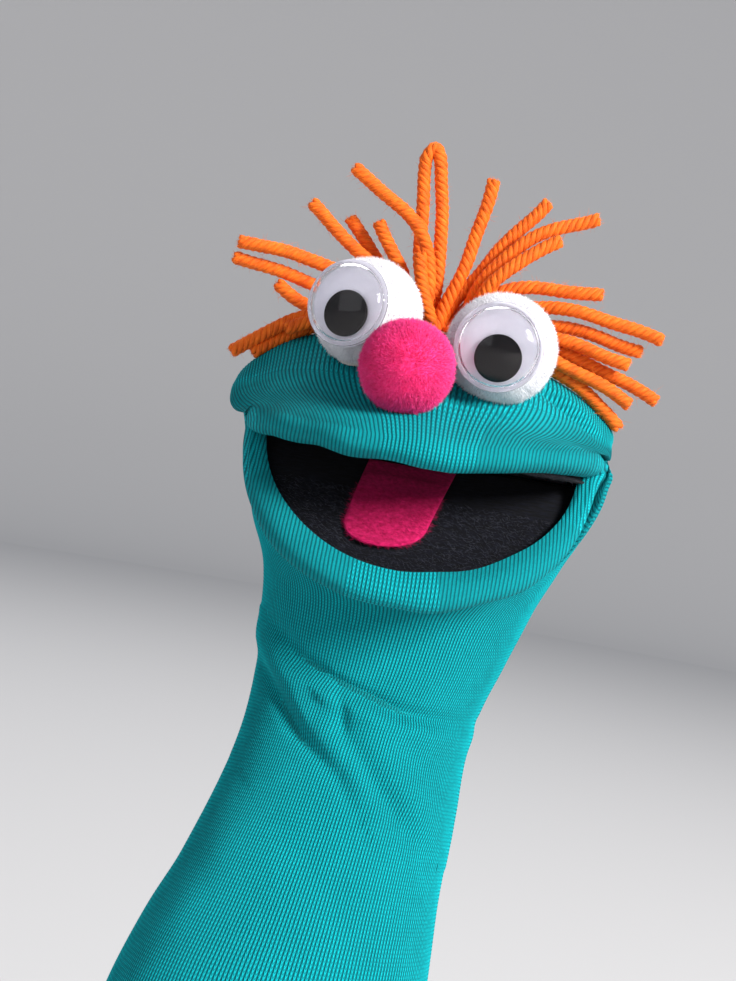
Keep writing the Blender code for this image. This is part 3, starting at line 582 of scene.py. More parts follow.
BOARD = fibre_mat("card_black", (0.0012, 0.0014, 0.0020), (0.0050, 0.0055, 0.0080), scale=(250.0, 1200.0, 600.0), bump=0.2, sheen=0.0)
GLUE = plastic_mat("glue", (0.75, 0.74, 0.68), 0.35)
# the backing's lavender tint is a painted reflection of the surroundings; the plastic's own colour is white
EYE_WHITE = plastic_mat("eye_white", (0.79, 0.77, 0.88), 0.22, coat=0.3, amount=0.03)
BLACK = plastic_mat("pupil_black", (0.006, 0.004, 0.005), 0.45, spec=0.12, amount=0.4)


def yarn_mat():
    m, nt, b = new_mat("yarn_orange")
    L = nt.links
    uv = nt.nodes.new("ShaderNodeUVMap")
    uv.uv_map = "UVMap"
    sep = nt.nodes.new("ShaderNodeSeparateXYZ")
    L.new(uv.outputs[0], sep.inputs[0])
    co = nt.nodes.new("ShaderNodeTexCoord")
    # fine filaments lie at an angle along each ply
    ph = math_node(nt, "ADD", math_node(nt, "MULTIPLY", sep.outputs[0], 9.0), math_node(nt, "MULTIPLY", sep.outputs[1], 0.55))
    comb = nt.nodes.new("ShaderNodeCombineXYZ")
    L.new(ph, comb.inputs[0])
    L.new(math_node(nt, "MULTIPLY", sep.outputs[1], 0.12), comb.inputs[1])
    n = node(nt, "ShaderNodeTexNoise", inputs={"Scale": 2.2, "Detail": 4.0, "Roughness": 0.6})
    L.new(comb.outputs[0], n.inputs["Vector"])
    big = node(nt, "ShaderNodeTexNoise", inputs={"Scale": 350.0, "Detail": 3.0})
    L.new(co.outputs["Object"], big.inputs["Vector"])
    f = math_node(nt, "ADD", math_node(nt, "MULTIPLY", n.outputs["Fac"], 0.7), math_node(nt, "MULTIPLY", big.outputs["Fac"], 0.3))
    L.new(ramp(nt, f, [(0.30, (0.48, 0.044, 0.002)), (0.52, (0.83, 0.140, 0.005)), (0.74, (0.97, 0.26, 0.012))]), b.inputs["Base Color"])
    bp = node(nt, "ShaderNodeBump", inputs={"Strength": 0.7, "Distance": 0.00025})
    L.new(n.outputs["Fac"], bp.inputs["Height"])
    L.new(bp.outputs[0], b.inputs["Normal"])
    b.inputs["Roughness"].default_value = 0.7
    b.inputs["Specular IOR Level"].default_value = 0.3
    b.inputs["Sheen Weight"].default_value = 0.12
    b.inputs["Sheen Tint"].default_value = (1.0, 0.5, 0.2, 1.0)
    return m


FELT_FUZZ = fibre_mat("felt_black_fuzz", (0.008, 0.009, 0.016), (0.040, 0.044, 0.066), scale=(400.0,) * 3, bump=0.0, sheen=0.1)
YARN = yarn_mat()
FUZZ = fibre_mat("yarn_fuzz", (0.72, 0.11, 0.008), (0.95, 0.24, 0.03), scale=(500.0,) * 3, bump=0.0, sheen=0.2, tint=(1.0, 0.6, 0.3))


def clear_mat():
    m, nt, b = new_mat("eye_clear")
    co = nt.nodes.new("ShaderNodeTexCoord")
    n = node(nt, "ShaderNodeTexNoise", inputs={"Scale": 900.0, "Detail": 2.0})
    nt.links.new(co.outputs["Object"], n.inputs["Vector"])
    nt.links.new(ramp(nt, n.outputs["Fac"], [(0.3, (0.97, 0.97, 0.99)), (0.7, (1.0, 1.0, 1.0))]), b.inputs["Base Color"])
    b.inputs["Transmission Weight"].default_value = 1.0
    b.inputs["Roughness"].default_value = 0.0
    b.inputs["IOR"].default_value = 1.25
    return m


CLEAR = clear_mat()


def dress(o, mat):
    o.data.materials.clear()
    o.data.materials.append(mat)
    return o


# carried-over CAD nodes get their finished materials
for n in ("mouth_board_upper", "mouth_board_lower"):
    bpy.data.objects[n].material_slots[0].material = BOARD
for n in frame["nodes"]:
    if n.startswith("glue"):
        bpy.data.objects[n].material_slots[0].material = GLUE

# ---------------------------------------------------------------- sock pieces
R_CUT = int(np.searchsorted(KS, 8.2))
ROWS = len(KS)
TUCK_COLS = 14
up_cols = np.arange(0, COLS // 2 + 1)
low_cols = np.arange(COLS // 2 - TUCK_COLS, COLS + 1 + TUCK_COLS) % COLS
tuck = np.zeros(len(low_cols))
tuck[:TUCK_COLS] = np.linspace(1.0, 0.15, TUCK_COLS)
tuck[-TUCK_COLS:] = np.linspace(0.15, 1.0, TUCK_COLS)
sleeve = dress(cut_grid("sock_sleeve", 0, R_CUT + 1, np.arange(COLS), closed=True), KNIT)
upper = dress(cut_grid("sock_upper_head", R_CUT, ROWS, up_cols), KNIT)
lower = dress(cut_grid("sock_lower_head", R_CUT, ROWS, low_cols, tuck=tuck), KNIT)


def inner_tube():
    """The sock's inner face, seen through the cuff: the turned-over rim and the wall inside."""
    step = 4
    rows = list(range(0, int(np.searchsorted(KS, 9.0)), 3))
    g, nn = BASE[rows][:, ::step], N0[rows][:, ::step]
    t = np.where(KS[rows] < 1.78, 2.5, 1.25)[:, None, None]
    g = g - nn * t
    rim_out = GRID[0:1, ::step]
    rim_mid = 0.5 * (rim_out + g[:1])
    rim_mid[..., 2] = -265.0
    g[0, :, 2] = -264.7
    g = np.concatenate([rim_out, rim_mid, g])
    m, n = g.shape[:2]
    idx = np.arange(m * n).reshape(m, n)
    nx = np.roll(idx, -1, axis=1)
    quads = np.stack([idx[:-1], idx[1:], nx[1:], nx[:-1]], -1).reshape(-1, 4)
    u = np.tile(np.arange(n) * step / 3.0, (m, 1))
    v = np.concatenate([[0, 1.2], arc[rows] / 1.05 + 2])[:, None] * np.ones((1, n))
    return np_mesh("sock_inside", g, quads, uv=np.stack([u, v], -1))


inside = dress(inner_tube(), KNIT_IN)


def area_of(o):
    return sum(p.area for p in o.data.polygons)


def head_pt(x, y, z):
    return ((x + OFF[0]) * MM, (y + OFF[1]) * MM, (z + OFF[2]) * MM)


for o in (sleeve, inside):
    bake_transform(o)
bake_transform(upper)
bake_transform(lower)
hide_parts("sock_cuff", "sock_leg", "sock_wrist_band", "sock_neck")
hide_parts("sock_nape", "sock_crown", "sock_corner_left", "sock_corner_right")
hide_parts("sock_throat", "sock_chin")
SOCK_FLAT = {}
for o, wid in ((sleeve, 0.190), (upper, 0.110), (lower, 0.105), (inside, 0.190)):
    a = area_of(o)
    length = a / 1.15 / wid
    SOCK_FLAT[o.name] = (wid, round(length, 3))

# look-up surface of the head for what rests on it
_cols = np.arange(0, COLS, 6)
_r0 = int(np.searchsorted(KS, 9.0))
_g = BASE[_r0:, _cols]
_m, _n = _g.shape[:2]
_idx = np.arange(_m * _n).reshape(_m, _n)
_q = np.stack([_idx[:-1], np.roll(_idx, -1, 1)[:-1], np.roll(_idx, -1, 1)[1:], _idx[1:]], -1).reshape(-1, 4)
HEAD_TREE = BVHTree.FromPolygons([tuple(map(float, p)) for p in _g.reshape(-1, 3)], [tuple(map(int, f)) for f in _q])


def height(p):
    hit, normal, _, _ = HEAD_TREE.find_nearest(Vector(p))
    return (Vector(p) - hit).dot(normal), normal


# ---------------------------------------------------------------- fibres
def fibres(name, root, direction, length, radius, bend=None, seg=2, mat=None):
    """Tapered three-sided fibres as real mesh."""
    root, direction = np.asarray(root, float), unit(np.asarray(direction, float))
    n = len(root)
    length = np.broadcast_to(np.asarray(length, float), (n,))
    radius = np.broadcast_to(np.asarray(radius, float), (n,))
    if bend is None:
        bend = RNG.normal(0, 0.25, (n, 3))
    side = unit(np.cross(direction, RNG.normal(0, 1, (n, 3)) + 1e-3))
    other = np.cross(direction, side)
    rings = []
    for j in range(seg):
        t = j / seg
        c = root + direction * (length * t)[:, None] + bend * (length * t * t)[:, None]
        r = radius * (1 - 0.55 * t)
        for a in range(3):
            w = 2 * math.pi * a / 3
            rings.append(c + side * (r * math.cos(w))[:, None] + other * (r * math.sin(w))[:, None])
    tip = root + direction * length[:, None] + bend * length[:, None]
    verts = np.stack(rings + [tip], 1)
    k = verts.shape[1]
    base = (np.arange(n) * k)[:, None]
    quads, tris = [], []
    for j in range(seg - 1):
        for a in range(3):
            b2 = (a + 1) % 3
            quads.append(base + np.array([[j * 3 + a, j * 3 + b2, (j + 1) * 3 + b2, (j + 1) * 3 + a]]))
    for a in range(3):
        tris.append(base + np.array([[(seg - 1) * 3 + a, (seg - 1) * 3 + (a + 1) % 3, k - 1]]))
    q = np.concatenate(quads) if quads else None
    return np_mesh(name, verts.reshape(-1, 3), q, np.concatenate(tris))


def join(objs, name):
    bpy.ops.object.select_all(action="DESELECT")
    for o in objs:
        o.select_set(True)
    bpy.context.view_layer.objects.active = objs[0]
    bpy.ops.object.join()
    objs[0].name = name
    return objs[0]


def pompom(name, c, r, mat, replace, planes=(), count=15000, pile=1.5, rad=0.085, clump=0.5, gap=-3.2):
    c = np.array(c)
    i = np.arange(count) + 0.5
    ph = np.arccos(1 - 2 * i / count)
    th = math.pi * (1 + 5 ** 0.5) * i
    dirs = np.stack([np.cos(th) * np.sin(ph), np.sin(th) * np.sin(ph), np.cos(ph)], -1)
    dirs = unit(dirs + RNG.normal(0, 0.012, dirs.shape))
    core_r = r - pile * 0.75
    # core
    nu, nv = 96, 64
    uu = np.linspace(0, 2 * math.pi, nu, endpoint=False)
    vv = np.linspace(0.02, math.pi - 0.02, nv)
    g = np.stack([np.sin(vv)[:, None] * np.cos(uu)[None], np.sin(vv)[:, None] * np.sin(uu)[None], np.cos(vv)[:, None] * np.ones((1, nu))], -1)
    lump = np.array([[noise.noise(Vector(p * 3.2) + Vector(c) * 0.1) for p in row] for row in g])
    core = c + g * (core_r + 0.25 * lump)[..., None]

    def press(p, extra=0.0):
        p = Vector(p)
        for q0, n0 in planes:
            dd = (p - q0).dot(n0) + extra
            if dd > 0:
                p = p - n0 * dd
        h, n1 = height(p)
        if h < gap + extra:
            p = p + n1 * (gap + extra - h)
        return np.array(p)

    core = np.array([press(p) for p in core.reshape(-1, 3)]).reshape(core.shape)
    idx = np.arange(nu * nv).reshape(nv, nu)
    quads = np.stack([idx[:-1], idx[1:], np.roll(idx, -1, 1)[1:], np.roll(idx, -1, 1)[:-1]], -1).reshape(-1, 4)
    verts = np.concatenate([core.reshape(-1, 3), core[0].mean(0)[None], core[-1].mean(0)[None]])
    t1 = [(nu * nv, idx[0][a], idx[0][(a + 1) % nu]) for a in range(nu)]
    t2 = [(nu * nv + 1, idx[-1][(a + 1) % nu], idx[-1][a]) for a in range(nu)]
    ball = np_mesh(name + "_core", verts, quads, np.array(t1 + t2))
    # pile: fibres lean together in small tufts
    root = c + dirs * (core_r - 0.2)
    tip = c + dirs * r
    keep = []
    for a, (p, t) in enumerate(zip(root, tip)):
        ok = all((Vector(t) - q0).dot(n0) < 0.25 for q0, n0 in planes)
        if ok:
            h, _ = height(t)
            ok = h > -1.2
        if ok:
            keep.append(a)
    keep = np.array(keep)
    root, dirs = root[keep], dirs[keep]
    f1 = np.array([noise.noise_vector(Vector(q0 * r * 0.55)) for q0 in dirs])
    f2 = np.array([noise.noise_vector(Vector(q0 * r * 1.5)) for q0 in dirs])
    lean = clump * f1 + clump * 0.8 * f2
    lean -= dirs * (lean * dirs).sum(1, keepdims=True)
    ln = pile * (0.75 + 0.35 * RNG.random(len(keep))) * (1 + 0.25 * f2[:, 0])
    fur = fibres(name + "_pile", root, dirs + 0.35 * lean, ln, rad * (0.8 + 0.4 * RNG.random(len(keep))), bend=0.5 * lean + RNG.normal(0, 0.10, lean.shape), seg=2)
    o = join([ball, fur], name)
    dress(o, mat)
    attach(o, "upper_jaw")
    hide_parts(replace)
    return o


NOSE_C = Vector((-8.8, -41.0, 19.3))
EYES = {
    "right": (Vector((-21.5, -20.0, 33.6)), Vector((-0.42, -0.905, 0.03)).normalized(), 10.2),
    "left": (Vector((15.0, -27.0, 29.5)), Vector((-0.126, -0.988, -0.075)).normalized(), 10.2),
}
pompom("nose", NOSE_C, NOSE_R, PINK, "nose_pompom", count=17000, pile=1.5, rad=0.10)
for side, (c, n, flat_at) in EYES.items():
    pompom("eye_ball_" + side, c, EYE_R, WHITE, "eye_pompom_" + side, [(c + n * flat_at, n)], count=17000, pile=1.5, rad=0.10, clump=0.35)


# ---------------------------------------------------------------- googly eyes
def lathe(name, prof, at, axis, seg=96, closed=False):
    """Turn a profile (radius, height) about an axis."""
    prof = np.array(prof, float)
    a = np.linspace(0, 2 * math.pi, seg, endpoint=False)
    rot = np.array(Vector((0, 0, 1)).rotation_difference(Vector(axis)).to_matrix())
    p = np.stack([prof[:, 0:1] * np.cos(a), prof[:, 0:1] * np.sin(a), prof[:, 1:2] * np.ones((1, seg))], -1)
    v = p.reshape(-1, 3) @ rot.T + np.array(at)
    m = len(prof)
    idx = np.arange(m * seg).reshape(m, seg)
    quads = np.stack([idx[:-1], idx[1:], np.roll(idx, -1, 1)[1:], np.roll(idx, -1, 1)[:-1]], -1).reshape(-1, 4)
    o = np_mesh(name, v, quads)
    bm = bmesh.new()
    bm.from_mesh(o.data)
    bmesh.ops.remove_doubles(bm, verts=bm.verts, dist=2e-7)
    bmesh.ops.recalc_face_normals(bm, faces=bm.faces)
    bm.to_mesh(o.data)
    bm.free()
    o.data.shade_smooth()
    o.data.set_sharp_from_angle(angle=math.radians(50))
    return o


def arc_pts(cx, cz, r, a0, a1, n=6):
    return [(cx + r * math.cos(math.radians(a)), cz + r * math.sin(math.radians(a))) for a in np.linspace(a0, a1, n)]


for side, (c, n, flat_at) in EYES.items():
    back_c = c + n * (flat_at + 1.0)
    floor = back_c + n * 1.1
    # backing plate with a rounded edge
    prof = [(0.0, 0.8), (EYE_DISC_R - 0.5, 0.8)] + arc_pts(EYE_DISC_R - 0.4, 0.4, 0.4, 80, -80) + [(EYE_DISC_R - 0.6, 0.0), (0.0, 0.0)]
    o = dress(lathe("googly_back_" + side, prof, back_c, n), EYE_WHITE)
    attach(o, "upper_jaw")
    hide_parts("eye_backing_" + side)
    ro = DOME_R + DOME_T
    prof = [(ro * math.sin(u), 0.9 + (DOME_H - 0.9) * math.cos(u)) for u in np.linspace(0.0, math.pi / 2 - 0.05, 22)]
    prof += [(ro + 0.15, 0.92)] + [(EYE_DISC_R - 0.3, 0.85)] + arc_pts(EYE_DISC_R - 0.3, 0.5, 0.3, 80, -60, 5) + [(EYE_DISC_R - 0.5, 0.02), (DOME_R, 0.0)]
    prof += [(DOME_R * math.sin(u), 0.5 + (DOME_H - DOME_T - 0.5) * math.cos(u)) for u in np.linspace(math.pi / 2, 0.0, 22)]
    o = dress(lathe("googly_dome_" + side, prof, floor, n, seg=128), CLEAR)
    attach(o, "upper_jaw")
    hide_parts("eye_dome_" + side)
    hang = Vector((0, 0, -1)) + Vector((0.12, 0, 0))
    hang = (hang - n * hang.dot(n)).normalized()
    at = floor + n * 0.35 + hang * PUPIL_OFF
    prof = [(0.0, PUPIL_T)] + [(PUPIL_R - 0.3, PUPIL_T)] + arc_pts(PUPIL_R - 0.25, PUPIL_T - 0.25, 0.25, 85, 0, 4) + arc_pts(PUPIL_R - 0.25, 0.25, 0.25, 0, -85, 4) + [(PUPIL_R - 0.3, 0.0), (0.0, 0.0)]
    o = dress(lathe("googly_pupil_" + side, prof, at, n), BLACK)
    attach(o, "pupil_" + side)
    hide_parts("pupil_" + side)


# ---------------------------------------------------------------- felt lining and tongue
def felt_sheet(name, outline, z_lo, z_hi, tilt, mat, res=1.6, warp_fn=None, fuzz=0, uvs=1.0):
    """A flat piece of felt cut to an outline, filled with a fine grid, with soft edges and a fuzz of fibres."""
    pts = np.array(outline, float)
    bm = bmesh.new()
    vs = [bm.verts.new((x, y, 0)) for x, y in pts]
    bm.faces.new(vs)
    bmesh.ops.triangulate(bm, faces=bm.faces)
    lo, hi = pts.min(0), pts.max(0)
    for ax, (a, b) in enumerate(zip(lo, hi)):
        s = a + res
        while s < b:
            co = [0, 0, 0]
            no = [0, 0, 0]
            co[ax], no[ax] = s, 1
            bmesh.ops.bisect_plane(bm, geom=bm.verts[:] + bm.edges[:] + bm.faces[:], plane_co=co, plane_no=no)
            s += res
    bmesh.ops.recalc_face_normals(bm, faces=bm.faces)
    if bm.faces[:][0].normal.z < 0:
        bmesh.ops.reverse_faces(bm, faces=bm.faces)
    top = bm.faces[:]
    ret = bmesh.ops.extrude_face_region(bm, geom=top)
    newv = [e for e in ret["geom"] if isinstance(e, bmesh.types.BMVert)]
    newset = set(newv)
    edge_pts = pts
    for v in bm.verts:
        up = v in newset
        x, y = v.co.x, v.co.y
        a, b = edge_pts, np.roll(edge_pts, -1, 0)
        dd = b - a
        t = np.clip(((np.array([x, y]) - a) * dd).sum(1) / np.maximum((dd * dd).sum(1), 1e-9), 0, 1)
        dist = np.linalg.norm(np.array([x, y]) - (a + t[:, None] * dd), axis=1).min()
        soft = 0.28 * math.exp(-dist / 0.5)
        lo_z, hi_z = (z_lo(-y), z_hi(-y)) if callable(z_lo) else (z_lo, z_hi)
        soft *= min(1.0, abs(hi_z - lo_z))
        z = (hi_z - soft) if up else (lo_z + soft * 0.6)
        z += 0.06 * noise.noise(Vector((x, y, 3.0)) * 0.25) * min(1.0, max(0.0, (-y - 12) / 8))
        if warp_fn:
            z += warp_fn(x, y)
        v.co.z = z
    bmesh.ops.recalc_face_normals(bm, faces=bm.faces)
    me = bpy.data.meshes.new(name)
    bm.to_mesh(me)
    bm.free()
    me.shade_smooth()
    rot = Matrix.Rotation(tilt, 4, "X")
    me.transform(Matrix.Translation(Vector(OFF) * MM) @ Matrix.Scale(MM, 4) @ rot)
    o = bpy.data.objects.new(name, me)
    bpy.context.scene.collection.objects.link(o)
    if fuzz:
        rng = np.random.default_rng(11)
        me.calc_loop_triangles()
        reach = (np.array(HINGE) * MM)
        tri = [t for t in me.loop_triangles if np.hypot(*(np.array(t.center) - reach)[1:]) > 0.0225]
        area = np.array([t.area for t in tri])
        pick = rng.choice(len(tri), fuzz, p=area / area.sum())
        root, dr = [], []
        for i in pick:
            t = tri[i]
            a, b, c3 = (np.array(me.vertices[j].co) for j in t.vertices)
            u, v = rng.random(2)
            if u + v > 1:
                u, v = 1 - u, 1 - v
            nrm = np.array(t.normal)
            root.append(a + u * (b - a) + v * (c3 - a))
            lay = np.array([1.2, 0.55, -0.35]) * rng.choice([-1, 1]) + rng.normal(0, 0.45, 3)
            dr.append(nrm * 0.20 + unit(lay) * 0.9)
        root = np.array(root) / MM - OFF
        fur = fibres(name + "_fuzz", root, np.array(dr), 0.8 + 1.3 * rng.random(fuzz), 0.042, bend=rng.normal(0, 0.16, (fuzz, 3)), seg=2)
        dress(fur, FELT_FUZZ if mat is FELT else mat)
        return dress(o, mat), fur
    return dress(o, mat)


def oval_outline(a, b, s0, skew=0.0, steps=60):
    lim = math.asin(max(s0, 0.0) / b)
    out = []
    for i in range(steps):
        u = lim + (math.pi - 2 * lim) * i / (steps - 1)
        out.append((a * math.cos(u) + skew * math.sin(u) ** 2, -b * math.sin(u)))
    return out


Z0 = CARD_T / 2 + 0.15
Z1 = Z0 + 1.0
S_BACK = 5.2


def up_low(s):
    """The upper lining's height under its card, at s in front of the fold: thin where the closing jaws leave no room."""
    return min(Z1, 0.118 * s - 0.03)


def low_top(s):
    return min(Z1, max(0.52, 0.07 * s))


lin_up, lin_up_fuzz = felt_sheet("mouth_lining_upper", oval_outline(MOUTH_A + 1.0, UP_B + 0.6, S_BACK), lambda s: -up_low(s), lambda s: -0.42, 0.0, FELT, res=2.2, fuzz=2500)
lin_lo, lin_lo_fuzz = felt_sheet("mouth_lining_lower", oval_outline(MOUTH_A - 0.2, LOW_B + 3.8, S_BACK, -3.0), lambda s: 0.42, low_top, BETA, FELT, res=1.8, fuzz=10000)
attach(lin_up, "upper_jaw")
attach(lin_up_fuzz, "upper_jaw")
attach(lin_lo, "lower_jaw")
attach(lin_lo_fuzz, "lower_jaw")
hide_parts("mouth_felt_upper")
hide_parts("mouth_felt_lower")

# the bend of the felt in the corner of the mouth
nf = 25
bend_pts = []
for i in range(nf):
    t = i / (nf - 1)
    a = t * BETA
    bend_pts.append((a, t))
prof_out, prof_in = [], []
for a, t in bend_pts:
    ca, sa = math.cos(a), math.sin(a)
    reach = 3.9 - 2.6 * math.sin(math.pi * t)
    zo = 0.45 * (1 - 2 * t)
    prof_in.append((-reach * ca + zo * sa * 0.0, -reach * sa - zo))
    prof_out.append((-(reach - 0.9) * ca, -(reach - 0.9) * sa - zo * 0.8))
loop = prof_in + prof_out[::-1]
nx = 60
verts = np.array([[(-1 + 2 * j / (nx - 1)) * (MOUTH_A - 4.0), y, z] for j in range(nx) for y, z in loop])
ln = len(loop)
quads = [(j * ln + i, (j + 1) * ln + i, (j + 1) * ln + (i + 1) % ln, j * ln + (i + 1) % ln) for j in range(nx - 1) for i in range(ln)]
fold = dress(np_mesh("mouth_lining_fold", verts, quads), FELT)
bm = bmesh.new()
bm.from_mesh(fold.data)
bmesh.ops.recalc_face_normals(bm, faces=bm.faces)
bm.to_mesh(fold.data)
bm.free()
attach(fold, "neck")
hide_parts("mouth_fold")

# tongue
T_HALF, T_START, T_TIP, T_X, T_LEAN = 10.9, 8.0, 45.6, -0.6, -0.18
out = []
for i in range(33):
    u = math.pi * i / 32
    s = T_TIP - T_HALF + T_HALF * math.sin(u)
    out.append((T_X + T_LEAN * s + T_HALF * math.cos(u), -s))
out += [(T_X + T_LEAN * T_START - T_HALF - 1.3, -T_START), (T_X + T_LEAN * T_START + T_HALF + 1.3, -T_START)]
tongue, tongue_fuzz = felt_sheet("tongue_felt", out, lambda s: low_top(s) + 0.05, lambda s: min(low_top(s) + 1.1, 0.245 * s - up_low(s) - 0.12), BETA, TONGUE, res=1.2, fuzz=5000,
                    warp_fn=lambda x, y: 0.9 * max(0.0, (-y - 36) / 8) ** 2)
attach(tongue, "lower_jaw")
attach(tongue_fuzz, "lower_jaw")
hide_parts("tongue")

# ---------------------------------------------------------------- yarn hair
# each strand's visible bow, from its tip inward; the bundle is glued to the crown between the eyes
KNOT = (-2.5, 4.0, 36.0)
HAIR = [
    ((-61, 1, 50), (-46.5, 1, 50), (-30.5, 2, 47)),
    ((-62, 4, 46), (-51.5, 5, 43), (-39.5, 5, 41.5)),
    ((-49, 5, 40), (-46.5, 5, 34), (-39, 4, 33.5)),
    ((-57.5, -1, 18.5), (-51.5, -1, 26), (-44.5, 0, 31), (-37.5, 1, 34.5)),
    ((-52, 1, 19.5), (-46.5, 1, 24.5), (-37, 2, 29.5)),
    ((-43.5, -2, 27.5), (-36.5, 0, 31)),
    ((-43, 2, 64), (-36.5, 2, 60), (-28.5, 3, 53.5), (-22, 4, 49)),
    ((-31.5, 6, 62.5), (-28, 6, 58), (-22.5, 7, 52)),
    ((-23.5, 0, 61.5), (-22.5, 0, 57.5), (-18, 1, 53.5), (-11, 2, 50)),
    ((-32.5, -2, 75), (-23.5, -3, 72), (-14.5, -3, 65), (-6.5, -3, 58.5), (-1.5, -2, 52)),
    ((-13, 3, 83.5), (-12.5, 4, 75.5), (-12.5, 4, 68), (-11, 4, 56)),
    ((-9.4, 3, 84.5), (-8, 4, 78), (-5, 4, 64.5), (-3.5, 4, 52)),
    ((6.5, 1, 79), (6, 2, 69), (4.5, 2, 58), (2, 2, 48)),
    ((23, 3, 76), (18.5, 4, 69.5), (11.5, 5, 60.5), (5, 5, 49)),
    ((37.5, 0, 73.5), (28.5, 1, 71), (20, 1, 66.5), (11.5, 1, 59), (4, 1, 47)),
    ((28, -3, 64.5), (20.5, -3, 60.5), (14, -3, 55.5), (7, -2, 46)),
    ((42.5, 2, 52.5), (32, 3, 52.5), (22.5, 3, 52), (10, 2, 50)),
    ((61, 0, 42.5), (52, 1, 45.5), (37.5, 1, 48), (22, 2, 48)),
    ((56.5, 4, 39), (47, 5, 41.5), (34.5, 5, 43), (22, 5, 42)),
    ((52.5, -3, 34), (43.5, -2, 36.5), (34, -1, 38.5), (22, 1, 38)),
    ((62.5, 1, 25.5), (53, 1, 30), (42.5, 1, 34.5), (32, 2, 36)),
    ((54.5, -4, 23), (45, -4, 27.5), (33, -3, 32)),
    ((53, -1, 16), (44.5, -1, 21.5), (33, 0, 28)),
    ((-10.5, -5, 54), (-7.5, -5, 45), (-6.5, -4, 38)),
]
PTS = 16


def resample(p, n):
    p = np.asarray(p, float)
    s = np.concatenate([[0], np.cumsum(np.linalg.norm(np.diff(p, axis=0), axis=1))])
    return np.stack([np.interp(np.linspace(0, s[-1], n), s, p[:, i]) for i in range(3)], -1)


def strand_paths():
    """Paths from a packed bundle on the crown out along each bow, eased apart over 130 sweeps that push apart the
    strands lying too close together.
    """
    n = len(HAIR)
    slots = [(0.0, 0.0)] + [(3.5 * math.cos(math.tau * i / 6), 3.5 * math.sin(math.tau * i / 6)) for i in range(6)]
    slots += [(7.0 * math.cos(math.tau * (i + 0.5) / 12), 7.0 * math.sin(math.tau * (i + 0.5) / 12)) for i in range(12)]
    slots += [(10.5 * math.cos(math.tau * i / 18), 10.5 * math.sin(math.tau * i / 18)) for i in range(18)]
    slots = [(a, b) for a, b in slots if b > -9 and abs(a) < 9.5]
    free = list(range(len(slots)))
    pts = np.zeros((n, PTS, 3))
    for i in sorted(range(n), key=lambda i: abs(HAIR[i][0][0])):
        tip = HAIR[i][0]
        want = (min(9.0, max(-9.0, 0.17 * tip[0])), 0.9 * (tip[1] - 1.5) + 0.05 * abs(tip[0]))
        j = min(free, key=lambda q: (slots[q][0] - want[0]) ** 2 + (slots[q][1] - want[1]) ** 2)
        free.remove(j)
        root = np.array([KNOT[0] + slots[j][0], KNOT[1] + slots[j][1], KNOT[2]])
        h, nrm = height(root)
        root = root - np.array(nrm) * (h - 1.0)
        rise = root + np.array([0.15 * slots[j][0], 0.05 * slots[j][1], 5.0])
        pts[i] = resample(spline(np.array([root, rise] + [np.array(q, float) for q in HAIR[i][::-1]]), 1.5), PTS)
    spheres = [(np.array(NOSE_C), NOSE_R)] + [(np.array(c), EYE_R) for c, _, _ in EYES.values()]
    need = 2 * YARN_R + 0.1
    tips = pts[:, -1].copy()
    for sweep in range(130):
        for q_i in range(n):
            for q_j in range(q_i + 1, n):
                if {q_i, q_j} == {10, 11}:
                    continue
                a, b = pts[q_i], pts[q_j]
                am = np.concatenate([a, (a[1:] + a[:-1]) / 2])
                bm_ = np.concatenate([b, (b[1:] + b[:-1]) / 2])
                dd = am[:, None] - bm_[None]
                dist = np.linalg.norm(dd, axis=2)
                close = dist < need
                if not close.any():
                    continue
                ii, jj = np.nonzero(close)
                push = dd[ii, jj] / np.maximum(dist[ii, jj], 1e-6)[:, None] * ((need - dist[ii, jj]) * 0.3)[:, None]
                push[:, 1] *= 1.6
                for k, l, v in zip(ii, jj, push):
                    for arr, idx, sg in ((a, k, 1.0), (b, l, -1.0)):
                        if idx < PTS:
                            arr[idx] += sg * v
                        else:
                            arr[idx - PTS] += sg * v * 0.6
                            arr[idx - PTS + 1] += sg * v * 0.6
        flatp = pts.reshape(-1, 3)
        for c, r in spheres:
            dd = flatp - c
            dist = np.linalg.norm(dd, axis=1)
            m = dist < r + YARN_R
            flatp[m] += dd[m] / dist[m, None] * (r + YARN_R - dist[m])[:, None] * 0.6
        if sweep % 3 == 0:
            for idx in np.nonzero(flatp[:, 2] < 46)[0]:
                h, nrm = height(flatp[idx])
                if h < YARN_R + 0.2 and idx % PTS > 1:
                    flatp[idx] += np.array(nrm) * (YARN_R + 0.2 - h) * 0.7
        if sweep < 110:
            pts[:, 1:-1] += 0.10 * (0.5 * (pts[:, :-2] + pts[:, 2:]) - pts[:, 1:-1])
            pts[:, -1] += 0.05 * (tips - pts[:, -1])
    return pts


def spline(pts, step=0.5):
    p = np.asarray(pts, float)
    p = np.concatenate([2 * p[:1] - p[1:2], p, 2 * p[-1:] - p[-2:-1]])
    out = []
    for i in range(1, len(p) - 2):
        n = max(2, int(np.linalg.norm(p[i + 1] - p[i]) / step))
        for t in np.linspace(0, 1, n, endpoint=False):
            out.append(0.5 * ((2 * p[i]) + (-p[i - 1] + p[i + 1]) * t + (2 * p[i - 1] - 5 * p[i] + 4 * p[i + 1] - p[i + 2]) * t**2 + (-p[i - 1] + 3 * p[i] - 3 * p[i + 1] + p[i + 2]) * t**3))
    out.append(p[-2])
    return np.array(out)


PATHS = strand_paths()


